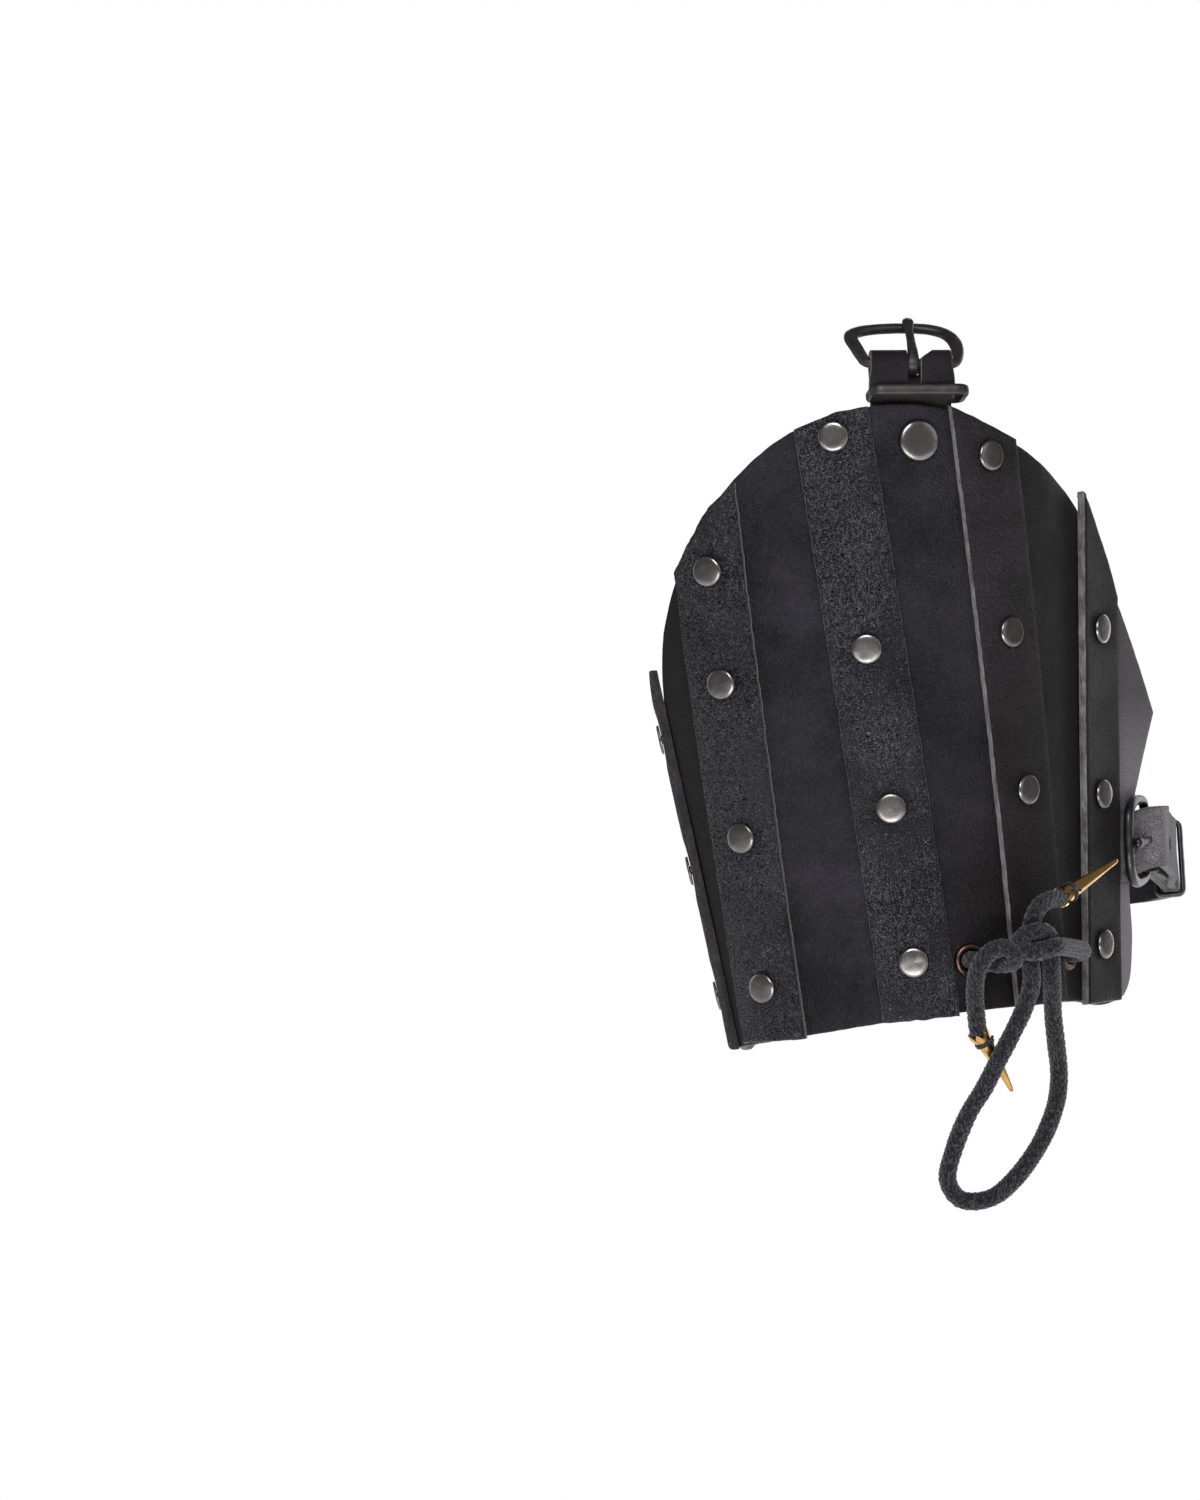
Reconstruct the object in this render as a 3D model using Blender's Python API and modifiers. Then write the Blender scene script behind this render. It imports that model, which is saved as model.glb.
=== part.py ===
"""A leather arm guard: a bent shell with riveted splints, two buckles, a strap and a tie cord.

Metres, +Z up the guard's long axis, its convex front towards -Y. The origin is the middle of the
hollow that the arm goes through. Lengths below are in millimetres and are scaled once, by MM.

The leather is laid out flat and then bent. On the flat pattern, s runs round the guard from the
middle of its front (positive to +X), h runs up from its lower edge, and lift is the distance out
from the shell's outer face.
"""

import math

import bmesh
import bpy
import numpy as np
from mathutils import Matrix, Vector

MM = 0.001
GAP = 0.3  # between neighbouring pieces

# The shell's form: the heading of its outer face, in degrees, at each s of the mid-height section.
BENDS = (
    # s, heading
    (-156, -130),
    (-127, -110),
    (-104, -94),
    (-71, -37),
    (-24, -12),
    (-8, 1),
    (4, 14),
    (14, 25),
    (30, 39),
    (42, 47),
    (61, 47),
    (82, 43),
    (112, 47),
)
FRONT_Y = -50.0  # the section's front
MID_H = 92.0  # the height where the section has its own size
FLARE = 0.0016  # its growth for each millimetre of height
FACET_TURN, FACET_WIDTH = 8.0, 14.0  # the most that one flat facet turns and measures

LEATHER = 2.6
STRAP = 2.4

# The shell's pattern, anticlockwise from its lower left corner. Round points are curved through.
SHELL_OUTLINE = (
    # s, h, round
    (-139, -7.5, True),
    (-116, -7, True),
    (-67, -4.5, True),
    (-30, -2.2, True),
    (10, -1.5, True),
    (50, -2.2, True),
    (80, -4, True),
    (90.5, -0.5, True),
    (94, 12, True),
    (91.5, 34, True),
    (92.5, 52, True),
    (98, 66, True),
    (107.5, 85, False),
    (80.5, 122.5, False),
    (60, 146.7, True),
    (43.4, 158, True),
    (23, 168.5, True),
    (3, 178, True),
    (-19, 181, True),
    (-38, 177, True),
    (-58, 164, True),
    (-75, 145, True),
    (-92, 122.4, True),
    (-107, 103.5, True),
    (-127, 89.5, False),
    (-147, 83.5, True),
    (-154.5, 73, True),
    (-154, 42, True),
    (-152, 8, True),
    (-148.5, -3.5, True),
)

# Splints: centreline s at MID_H, its slant, the lower end's h, and the upper end's corners as
# (share of the half width, h), from the right edge to the left.
SPLINT_WIDTH = 22.5
SPLINT_WAIST_H = 50.0
SPLINTS = (
    # name, s, slant, foot h, head corners
    ("splint_1", -116.0, 0.034, -7.2, ((1.0, 110.5), (-1.0, 92.0))),
    ("splint_2", -72.4, 0.065, -5.2, ((1.0, 162.5), (0.2, 156.0), (-0.5, 146.0), (-1.0, 138.0))),
    ("splint_3", -27.2, -0.034, -2.6, ((1.0, 181.6), (0.15, 180.2), (-1.0, 176.2))),
    ("splint_4", 17.6, -0.074, -1.7, ((1.0, 168.6), (-0.1, 174.2), (-1.0, 179.4))),
    ("splint_5", 67.2, 0.001, -3.6, ((1.0, 121.0), (0.4, 133.0), (-0.7, 150.0), (-1.0, 153.5))),
)
SPLINT_RIVETS = (
    # splint, h of each rivet
    ("splint_1", (90.0, 49.0, 10.0)),
    ("splint_2", (137.5, 103.5, 57.0, 11.5)),
    ("splint_3", (173.0, 109.5, 61.5, 15.0)),
    ("splint_4", (164.0, 111.0, 63.5, 16.0)),
    ("splint_5", (111.5, 60.5, 14.5)),
)
SPLINT_LIFT = GAP

# Rivets: cap radius, cap height, and the plain burr on the inside
RIVET_CAP, RIVET_HEIGHT, RIVET_BURR = 4.65, 1.7, 3.4
LARGE_CAP, LARGE_HEIGHT, LARGE_BURR = 6.3, 2.2, 4.5
SHANK_R, HOLE_R = 1.5, 2.05
SMALL_CAP = 3.5

# Eyelets
EYELETS = (
    # name, s, h
    ("eyelet_1", -4.8, 13.8),
    ("eyelet_2", 44.0, 12.5),
)
EYELET_BORE_R, EYELET_BARREL_R, EYELET_FLANGE_R, EYELET_FLANGE = 3.1, 3.6, 5.4, 0.7

# The buckles, which are alike: a rounded trapezoid of wire and its prong
WIRE_R = 1.45
FRAME_LENGTH = 20.0  # hinge bar to outer bar, between centrelines
HINGE_CORNER_R, OUTER_CORNER_R = 2.5, 6.5
PRONG_R = 1.15
FOLD_R = WIRE_R + GAP + STRAP / 2  # the strap's centreline where it folds over the hinge bar
BUCKLE_HALVES = {
    # half widths of the frame, to the centrelines of its side arms: at the hinge bar, at the outer bar
    "top": (13.4, 16.4),
    "side": (11.3, 13.2),
}
FOLD_HALF_WIDTH, STRAP_HALF_WIDTH = 11.5, 12.5  # the top strap's
SIDE_FOLD_HALF_WIDTH, SIDE_HALF_WIDTH = 9.4, 10.2  # the back strap's and the tongue's
SLOT_HALF = 2.0  # the slot in the fold, for the prong

# The top buckle
TOP_S = -7.4  # the strap's middle
TOP_RIVET_H = 169.7
TOP_STRAP_FOOT_H = 157.0
TOP_BAR_H = 192.6
TOP_BAR_LIFT = -0.7  # of the hinge bar, out from the shell's face carried on upwards
TOP_HEADING = -6.0  # degrees that the buckle is turned about Z
TOP_TILT = 4.5  # degrees that its right end hangs lower than its left
TOP_LEAN = 52.0  # degrees that the frame leans back from upright
TOP_KEEPER_H = 184.3
TOP_KEEPER_SIZE = (27.2, 10.1)  # inside, along the bar and across it
TOP_KEEPER_SHIFT = 1.4
KEEPER_WIRE_R, KEEPER_HALF_HEIGHT = 0.85, 1.6

# The side buckle and the strap that runs round the back of the arm
SIDE_H = 43.5
SIDE_BAR_S, SIDE_BAR_LIFT = 80.2, 5.3  # the outer bar, over the tongue's fixed end
SIDE_HINGE_LIFT = 3.6
SIDE_HEADING = 53.0
TONGUE_START_S = 80.2
TONGUE_RIVET_S = 86.8
BACK_STRAP = (
    # x, y, z of its middle, from the hinge bar round the back to the left flank
    (82.0, 34.1, -49.0),
    (90.8, 52.1, -52.5),
    (95.7, 66.3, -55.0),
    (93.0, 82.0, -56.5),
    (78.0, 93.0, -57.0),
    (50.0, 94.5, -57.0),
    (20.0, 90.5, -57.0),
    (-8.0, 83.0, -56.5),
    (-36.0, 69.0, -55.5),
)
BACK_STRAP_ON_FLANK = (
    # s of its last points at BACK_RIVET_H, and how far they stand off the flank
    (-155.5, 1.6),
    (-149.0, 0.5),
    (-140.0, 0.1),
    (-131.6, 0.0),
)
BACK_RIVET_S, BACK_RIVET_H = -138.8, 38.0
FOLD_LAP = 33.0  # how far the strap's folded end runs back from the hinge bar
SIDE_KEEPER_U = 50.0
TONGUE_END_U = 90.0
TONGUE_HOLES_U = (20.0, 40.0, 66.0)
TONGUE_HOLE_R = 2.25

# The cord
CORD_R = 2.6
KNOT_CENTRE = (15.6, -52.6, -76.5)
KNOT_RADII = (8.6, 6.2, 7.6)
LOOP_ROUTE = (
    # x, y, z
    (12.6, -52.0, -78.0),
    (12.2, -51.4, -86.5),
    (9.6, -50.6, -93.5),
    (5.1, -50.2, -101.0),
    (0.6, -49.0, -108.5),
    (-3.7, -47.0, -116.5),
    (-9.6, -44.4, -124.4),
    (-14.0, -41.4, -134.3),
    (-16.2, -39.4, -142.6),
    (-13.6, -38.9, -148.6),
    (-8.4, -39.8, -150.4),
    (-1.6, -41.0, -148.9),
    (6.1, -41.4, -142.9),
    (13.9, -40.3, -134.1),
    (19.6, -38.8, -124.2),
    (21.6, -38.8, -115.3),
    (20.8, -41.7, -106.1),
    (19.8, -44.9, -96.9),
    (19.3, -47.2, -89.3),
    (19.0, -49.0, -80.0),
)
END_1_ROUTE = (
    (9.0, -56.6, -75.6),
    (3.4, -55.6, -75.6),
    (-1.4, -54.4, -77.6),
    (-4.4, -52.6, -82.0),
    (-5.2, -50.6, -87.5),
    (-5.0, -48.6, -93.5),
    (-4.6, -46.8, -98.6),
)
END_2_ROUTE = (
    (13.2, -52.0, -73.0),
    (14.4, -51.6, -68.2),
    (17.2, -50.2, -64.2),
    (21.2, -47.5, -62.4),
    (25.0, -44.0, -62.2),
)
AGLETS = (
    # name, middle of the mouth, tip
    ("aglet_1", (-4.4, -46.4, -100.0), (6.0, -40.6, -118.6)),
    ("aglet_2", (26.6, -42.4, -62.0), (49.7, -27.8, -52.4)),
)
AGLET_MOUTH_R, AGLET_TIP_R, AGLET_WALL = 3.3, 0.7, 0.5

# ------------------------------------------------------------------ the bent form


def facet_edges():
    """The s of every edge between two flat facets of the shell."""
    edges = [float(BENDS[0][0])]
    for (s0, heading0), (s1, heading1) in zip(BENDS, BENDS[1:]):
        by_turn = math.ceil(abs(heading1 - heading0) / FACET_TURN)
        by_width = math.ceil((s1 - s0) / FACET_WIDTH)
        count = max(by_turn, by_width)
        edges += [s0 + (s1 - s0) * (i + 1) / count for i in range(count)]
    return np.array(edges)


def section():
    """Columns s, x, y and heading of the mid-height section, at every facet edge."""
    step = 0.25
    s = np.arange(BENDS[0][0], BENDS[-1][0] + step, step)
    heading = np.radians(np.interp(s, *np.array(BENDS, float).T))
    x = np.concatenate([[0], np.cumsum(np.cos((heading[1:] + heading[:-1]) / 2) * step)])
    y = np.concatenate([[0], np.cumsum(np.sin((heading[1:] + heading[:-1]) / 2) * step)])
    x -= np.interp(0, s, x)
    y += FRONT_Y - np.interp(0, s, y)
    edges = facet_edges()
    return edges, np.interp(edges, s, x), np.interp(edges, s, y), np.interp(edges, s, heading)


EDGES, EDGE_X, EDGE_Y, EDGE_HEADING = section()


def growth(h):
    return 1 + FLARE * (h - MID_H)


def bent(s, h, lift=0.0):
    """The point in space, in millimetres, of a place on the flat pattern."""
    grow = growth(h)
    x = np.interp(s, EDGES, EDGE_X) * grow + lift * np.interp(s, EDGES, np.sin(EDGE_HEADING))
    y = np.interp(s, EDGES, EDGE_Y) * grow - lift * np.interp(s, EDGES, np.cos(EDGE_HEADING))
    return Vector((float(x), float(y), h - MID_H))


def stand_on(s, h, lift=0.0):
    """A matrix with its z straight out of the leather at that place, and its x round the guard."""
    reach = 1.5
    along = (bent(s + reach, h) - bent(s - reach, h)).normalized()
    up = (bent(s, h + reach) - bent(s, h - reach)).normalized()
    out = along.cross(up).normalized()
    return frame(bent(s, h, lift), along, out)


def up_at(s, h):
    """The direction up the leather, which leans out because the form grows with height."""
    return (bent(s, h + 1) - bent(s, h - 1)).normalized()


def frame(origin, x_axis, z_axis):
    """A matrix at a point in millimetres, from its x axis and roughly its z axis."""
    x_axis = x_axis.normalized()
    y_axis = z_axis.cross(x_axis).normalized()
    z_axis = x_axis.cross(y_axis)
    turn = Matrix((x_axis, y_axis, z_axis)).transposed().to_4x4()
    return Matrix.Translation(Vector(origin) * MM) @ turn


# ------------------------------------------------------------------ Blender helpers


def clear_scene():
    for old in list(bpy.data.objects):
        bpy.data.objects.remove(old, do_unlink=True)
    for old in list(bpy.data.collections):
        bpy.data.collections.remove(old)


def collection(name):
    made = bpy.data.collections.new(name)
    bpy.context.scene.collection.children.link(made)
    return made


clear_scene()
PARTS = collection("arm_guard")
CUTTERS = collection("cutters")


def material(name, colour, roughness, metallic=0.0):
    made = bpy.data.materials.new(name)
    made.use_nodes = True
    shader = made.node_tree.nodes["Principled BSDF"]
    shader.inputs["Base Color"].default_value = (*colour, 1)
    shader.inputs["Roughness"].default_value = roughness
    shader.inputs["Metallic"].default_value = metallic
    return made


FINISHES = {
    "shell_leather": material("shell_leather", (0.016, 0.016, 0.018), 0.6),
    "splint_leather": material("splint_leather", (0.018, 0.017, 0.019), 0.42),
    "strap_leather": material("strap_leather", (0.02, 0.02, 0.022), 0.55),
    "rivet_steel": material("rivet_steel", (0.42, 0.4, 0.39), 0.25, 1.0),
    "black_metal": material("black_metal", (0.03, 0.03, 0.034), 0.38, 0.6),
    "eyelet_metal": material("eyelet_metal", (0.16, 0.09, 0.06), 0.35, 1.0),
    "aglet_brass": material("aglet_brass", (0.78, 0.5, 0.16), 0.25, 1.0),
    "cord_braid": material("cord_braid", (0.012, 0.013, 0.017), 0.9),
}


def part(name, mesh, finish, matrix=None, smooth=False):
    made = bpy.data.objects.new(name, mesh)
    if matrix is not None:
        made.matrix_world = matrix
    mesh.materials.clear()
    mesh.materials.append(FINISHES[finish])
    if smooth:
        mesh.shade_smooth()
        mesh.set_sharp_from_angle(angle=math.radians(40))
    PARTS.objects.link(made)
    return made


def cutter(name, mesh, matrix=None):
    made = bpy.data.objects.new(name, mesh)
    if matrix is not None:
        made.matrix_world = matrix
    made.hide_render = True
    made.display_type = "WIRE"
    CUTTERS.objects.link(made)
    return made


def cut(target, tool, operation="DIFFERENCE"):
    modifier = target.modifiers.new(tool.name, "BOOLEAN")
    modifier.object = tool
    modifier.operation = operation
    modifier.solver = "EXACT"


def mesh_of(name, build):
    """A mesh filled by build(bm), which works in millimetres."""
    bm = bmesh.new()
    build(bm)
    bmesh.ops.scale(bm, vec=(MM, MM, MM), verts=bm.verts)
    bmesh.ops.recalc_face_normals(bm, faces=bm.faces)
    mesh = bpy.data.meshes.new(name)
    bm.to_mesh(mesh)
    bm.free()
    return mesh


def evaluated_mesh(obj):
    """The object's mesh with its modifiers applied, in its own space; the object is removed."""
    bpy.context.view_layer.update()
    graph = bpy.context.evaluated_depsgraph_get()
    mesh = bpy.data.meshes.new_from_object(obj.evaluated_get(graph))
    bpy.data.objects.remove(obj, do_unlink=True)
    bm = bmesh.new()
    bm.from_mesh(mesh)
    bmesh.ops.remove_doubles(bm, verts=bm.verts, dist=0.01 * MM)
    bm.to_mesh(mesh)
    bm.free()
    return mesh


def prism(name, radius, depth, sides):
    """An upright prism about the origin, for round holes."""

    def build(bm):
        bmesh.ops.create_cone(
            bm, cap_ends=True, segments=sides, radius1=radius, radius2=radius, depth=depth
        )

    return mesh_of(name, build)


def turned(name, profile, finish, matrix, sides=10):
    """A turned piece: profile rows are (radius, height), from the top down its outer side."""
    mesh = bpy.data.meshes.new(name)
    points = [(r * MM, 0, z * MM) for r, z in profile]
    mesh.from_pydata(points, [(i, i + 1) for i in range(len(points) - 1)], [])
    made = part(name, mesh, finish, matrix)
    screw = made.modifiers.new("turn", "SCREW")
    screw.steps = screw.render_steps = sides
    screw.use_merge_vertices = True
    screw.merge_threshold = 0.00001
    screw.use_smooth_shade = True
    return made


def tube(name, points, radius, finish, cyclic=False, sides=2, matrix=None, half_height=0.0):
    """A curve object through the points, in millimetres: round, or taller when half_height is set."""
    curve = bpy.data.curves.new(name, "CURVE")
    curve.dimensions = "3D"
    curve.fill_mode = "FULL"
    curve.bevel_depth = radius * MM
    curve.bevel_resolution = sides
    curve.extrude = half_height * MM
    curve.use_fill_caps = not cyclic
    spline = curve.splines.new("POLY")
    spline.points.add(len(points) - 1)
    for place, point in zip(spline.points, points):
        place.co = (*(Vector(point) * MM), 1)
    spline.use_cyclic_u = cyclic
    curve.materials.append(FINISHES[finish])
    made = bpy.data.objects.new(name, curve)
    if matrix is not None:
        made.matrix_world = matrix
    PARTS.objects.link(made)
    return made


def as_mesh(curve_object, finish, smooth=True):
    """The same object as a mesh with its caps welded."""
    name, matrix = curve_object.name, curve_object.matrix_world.copy()
    mesh = evaluated_mesh(curve_object)
    mesh.name = name
    return part(name, mesh, finish, matrix, smooth)


def smooth_path(points, spacing):
    """Points about that far apart on a smooth curve through the given ones (Catmull-Rom)."""
    given = [Vector(p) for p in points]
    ends = [given[0] * 2 - given[1], *given, given[-1] * 2 - given[-2]]
    path = [given[0]]
    for a, b, c, d in zip(ends, ends[1:], ends[2:], ends[3:]):
        count = max(1, round((c - b).length / spacing))
        for i in range(1, count + 1):
            t = i / count
            path.append(
                0.5
                * (
                    2 * b
                    + (c - a) * t
                    + (2 * a - 5 * b + 4 * c - d) * t**2
                    + (3 * b - a - 3 * c + d) * t**3
                )
            )
    return path


# ------------------------------------------------------------------ leather cut flat and bent


def outline_prism(name, rows):
    """The pattern's outline as a tall prism: a Bezier curve, filled and extruded."""
    curve = bpy.data.curves.new(name, "CURVE")
    curve.dimensions = "2D"
    curve.fill_mode = "BOTH"
    curve.extrude = 10 * MM
    curve.resolution_u = 3
    spline = curve.splines.new("BEZIER")
    spline.bezier_points.add(len(rows) - 1)
    for place, (s, h, is_round) in zip(spline.bezier_points, rows):
        place.co = (s * MM, h * MM, 0)
        kind = "AUTO" if is_round else "VECTOR"
        place.handle_left_type = place.handle_right_type = kind
    spline.use_cyclic_u = True
    made = bpy.data.objects.new(name, curve)
    CUTTERS.objects.link(made)
    return cutter(name, evaluated_mesh(made))


def flat_sheet(name, s_low, s_high, h_low, h_high, lift):
    """A flat slab of leather, divided at the facet edges. Its z is the lift."""
    inside = [s for s in EDGES if s_low < s < s_high]
    stations = [s_low, *inside, s_high]

    def build(bm):
        rows = [
            [bm.verts.new((s, h, z)) for s in stations]
            for h, z in (
                (h_low, lift),
                (h_high, lift),
                (h_high, lift + LEATHER),
                (h_low, lift + LEATHER),
            )
        ]
        for low, high in zip(rows, [*rows[1:], rows[0]]):
            for i in range(len(stations) - 1):
                bm.faces.new((low[i], low[i + 1], high[i + 1], high[i]))
        for end in (0, -1):
            bm.faces.new([row[end] for row in rows])

    return mesh_of(name, build)


def cut_leather(name, rows, lift, holes, finish):
    """Cuts a sheet to its outline, punches its holes as (s, h, radius), and bends it to the form."""
    reach = 4.0
    s_values, h_values = [row[0] for row in rows], [row[1] for row in rows]
    s_low, s_high = min(s_values) - reach, max(s_values) + reach
    s_low, s_high = max(s_low, EDGES[0] - 2), min(s_high, EDGES[-1] + 2)
    sheet = part(
        name,
        flat_sheet(name, s_low, s_high, min(h_values) - reach, max(h_values) + reach, lift),
        finish,
    )
    cut(sheet, outline_prism(name + "_outline", rows), "INTERSECT")
    for i, (s, h, radius) in enumerate(holes):
        # The bend shrinks or stretches s by the form's growth, so the hole is punched oval.
        place = Matrix.Translation(Vector((s, h, lift)) * MM) @ Matrix.Diagonal((1 / growth(h), 1, 1, 1))
        cut(sheet, cutter(f"{name}_hole_{i}", prism("hole", radius, 4 * LEATHER, 8), place))
    mesh = evaluated_mesh(sheet)
    for vertex in mesh.vertices:
        s, h, z = vertex.co / MM
        vertex.co = bent(s, h, z) * MM
    mesh.name = name
    return part(name, mesh, finish)


def splint_s(name, h):
    _, s, slant, _, _ = next(row for row in SPLINTS if row[0] == name)
    return s + slant * (h - MID_H)


def splint_outline(name):
    """A strip of one width with its own slant, flush with the shell's lower edge."""
    _, _, _, foot, head = next(row for row in SPLINTS if row[0] == name)
    ends = [(-1, foot), (1, foot), (1, SPLINT_WAIST_H), *head, (-1, SPLINT_WAIST_H)]
    return [(splint_s(name, h) + side * SPLINT_WIDTH / 2 / growth(h), h, False) for side, h in ends]


def rivet(name, s, h, stack_top, stack_bottom, cap, height, burr):
    """A cap on top of the stack of leather, a shank through it, and a plain burr under it."""
    top, bottom = stack_top + GAP, stack_bottom - 2 * GAP
    profile = (
        (0, top + height),
        (cap * 0.62, top + height * 0.78),
        (cap * 0.94, top + height * 0.3),
        (cap, top),
        (SHANK_R, top),
        (SHANK_R, bottom),
        (burr, bottom),
        (burr, bottom - 0.8),
        (0, bottom - 0.8),
    )
    return turned(name, profile, "rivet_steel", stand_on(s, h))


def leather_body():
    holes = [(s, h, EYELET_BARREL_R + 0.75) for _, s, h in EYELETS]
    for name, heights in SPLINT_RIVETS:
        holes += [(splint_s(name, h), h, HOLE_R) for h in heights]
    holes.append((TOP_S, TOP_RIVET_H, HOLE_R))
    holes.append((TONGUE_RIVET_S, SIDE_H, HOLE_R))
    holes.append((BACK_RIVET_S, BACK_RIVET_H, HOLE_R))
    cut_leather("base_shell", SHELL_OUTLINE, -LEATHER, holes, "shell_leather")
    for name, heights in SPLINT_RIVETS:
        own = [(splint_s(name, h), h, HOLE_R) for h in heights]
        cut_leather(name, splint_outline(name), SPLINT_LIFT, own, "splint_leather")
        for i, h in enumerate(heights, 1):
            rivet(
                f"rivet_{name[-1]}_{i}",
                splint_s(name, h),
                h,
                SPLINT_LIFT + LEATHER + 0.15,
                -LEATHER - 0.1,
                RIVET_CAP,
                RIVET_HEIGHT,
                RIVET_BURR,
            )


def eyelets():
    """A rolled flange outside, a barrel through the shell, and a thin washer flange inside."""
    for name, s, h in EYELETS:
        top, bottom = 0.25 + GAP, -LEATHER - 0.6 - GAP
        profile = (
            (EYELET_BORE_R, top + EYELET_FLANGE),
            (EYELET_FLANGE_R * 0.8, top + EYELET_FLANGE),
            (EYELET_FLANGE_R, top + 0.2),
            (EYELET_FLANGE_R, top),
            (EYELET_BARREL_R, top),
            (EYELET_BARREL_R, bottom),
            (EYELET_FLANGE_R - 0.6, bottom),
            (EYELET_FLANGE_R - 0.6, bottom - 0.5),
            (EYELET_BORE_R, bottom - 0.5),
            (EYELET_BORE_R, top + EYELET_FLANGE),
        )
        turned(name, profile, "eyelet_metal", stand_on(s, h), sides=12)


# ------------------------------------------------------------------ buckles


def rounded_corner(corner, before, after, radius, count=4):
    """Points of the arc that rounds one corner of a flat outline."""
    to_before = (before - corner).normalized()
    to_after = (after - corner).normalized()
    half = to_before.angle(to_after) / 2
    middle = corner + (to_before + to_after).normalized() * radius / math.sin(half)
    start = corner + to_before * radius / math.tan(half) - middle
    end = corner + to_after * radius / math.tan(half) - middle
    sweep = start.angle(end)
    points = []
    for i in range(count + 1):
        t = i / count
        points.append(
            middle
            + start * math.sin((1 - t) * sweep) / math.sin(sweep)
            + end * math.sin(t * sweep) / math.sin(sweep)
        )
    return points


def rounded_loop(corners):
    """A closed outline from rows of (x, y, radius)."""
    flat = [Vector((x, y, 0)) for x, y, _ in corners]
    points = []
    for i, (_, _, radius) in enumerate(corners):
        points += rounded_corner(flat[i], flat[i - 1], flat[(i + 1) % len(flat)], radius)
    return points


def buckle(prefix, place):
    """The frame lies in the matrix's xy plane, hinged on its x axis; the prong lies on top of it."""
    hinge_half, outer_half = BUCKLE_HALVES[prefix]
    corners = (
        (hinge_half, 0, HINGE_CORNER_R),
        (outer_half, FRAME_LENGTH, OUTER_CORNER_R),
        (-outer_half, FRAME_LENGTH, OUTER_CORNER_R),
        (-hinge_half, 0, HINGE_CORNER_R),
    )
    ring = tube(prefix + "_frame", rounded_loop(corners), WIRE_R, "black_metal", cyclic=True, matrix=place)
    as_mesh(ring, "black_metal")
    prong(prefix + "_prong", place)


def prong_route():
    """A hook round the hinge bar, then straight to the outer bar. In the yz plane."""
    ring = WIRE_R + GAP + PRONG_R
    hook = [math.radians(a) for a in (-60, -95, -130, -165, -200, -235, -264)]
    points = [Vector((0, ring * math.cos(a), ring * math.sin(a))) for a in hook]
    rest = WIRE_R + GAP + PRONG_R
    points.append(Vector((0, 4.0, rest)))
    points.append(Vector((0, FRAME_LENGTH - 3, rest)))
    points.append(Vector((0, FRAME_LENGTH + 1.2, rest + 0.1)))
    return points


def prong(name, place):
    wire = tube(name, prong_route(), PRONG_R, "black_metal", matrix=place)
    body = as_mesh(wire, "black_metal")

    def knob(bm):
        bmesh.ops.create_uvsphere(bm, u_segments=10, v_segments=6, radius=1.0)
        bmesh.ops.scale(bm, vec=(1.75, 2.2, 1.35), verts=bm.verts)
        rest = WIRE_R + GAP + PRONG_R
        bmesh.ops.translate(bm, vec=(0, FRAME_LENGTH + 0.8, rest + 0.3), verts=bm.verts)

    cut(body, cutter(name + "_knob", mesh_of(name + "_knob", knob), place), "UNION")


def keeper(name, place, size, half_height=KEEPER_HALF_HEIGHT):
    """A ring of flat wire, its inside size in the matrix's xy plane."""
    x, y = size[0] / 2 + KEEPER_WIRE_R, size[1] / 2 + KEEPER_WIRE_R
    corners = ((x, -y, 1.8), (x, y, 1.8), (-x, y, 1.8), (-x, -y, 1.8))
    ring = tube(
        name,
        rounded_loop(corners),
        KEEPER_WIRE_R,
        "black_metal",
        cyclic=True,
        matrix=place,
        half_height=half_height - KEEPER_WIRE_R,
    )
    as_mesh(ring, "black_metal")


# ------------------------------------------------------------------ straps


def strap_sheet(name, rows, half_width, slot_rows=()):
    """A sheet through rows of (middle, half-width vector, out vector times crown), then Solidify.

    slot_rows are the rows between which the middle strip is left out.
    """
    slot = SLOT_HALF / half_width
    across = (-1.0, -0.55, -slot, slot, 0.55, 1.0)

    def build(bm):
        grid = []
        for middle, half, crown in rows:
            grid.append([bm.verts.new(middle + half * a + crown * a * a) for a in across])
        for r, (low, high) in enumerate(zip(grid, grid[1:])):
            for c in range(len(across) - 1):
                if c == 2 and r in slot_rows:
                    continue
                bm.faces.new((low[c], low[c + 1], high[c + 1], high[c]))

    sheet = part(name, mesh_of(name, build), "strap_leather")
    solidify = sheet.modifiers.new("thickness", "SOLIDIFY")
    solidify.thickness = STRAP * MM
    solidify.offset = 0
    solidify.use_even_offset = True
    return sheet


def top_place():
    """The top hinge bar's directions, along it, up and out to the front, and its middle."""
    heading, tilt = math.radians(TOP_HEADING), math.radians(TOP_TILT)
    upright = Vector((0, 0, 1))
    level = Vector((math.cos(heading), math.sin(heading), 0))
    out = level.cross(upright)
    along = level * math.cos(tilt) - upright * math.sin(tilt)
    middle = bent(TOP_S, TOP_BAR_H, TOP_BAR_LIFT)
    return along, out.cross(along), out, middle


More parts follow.
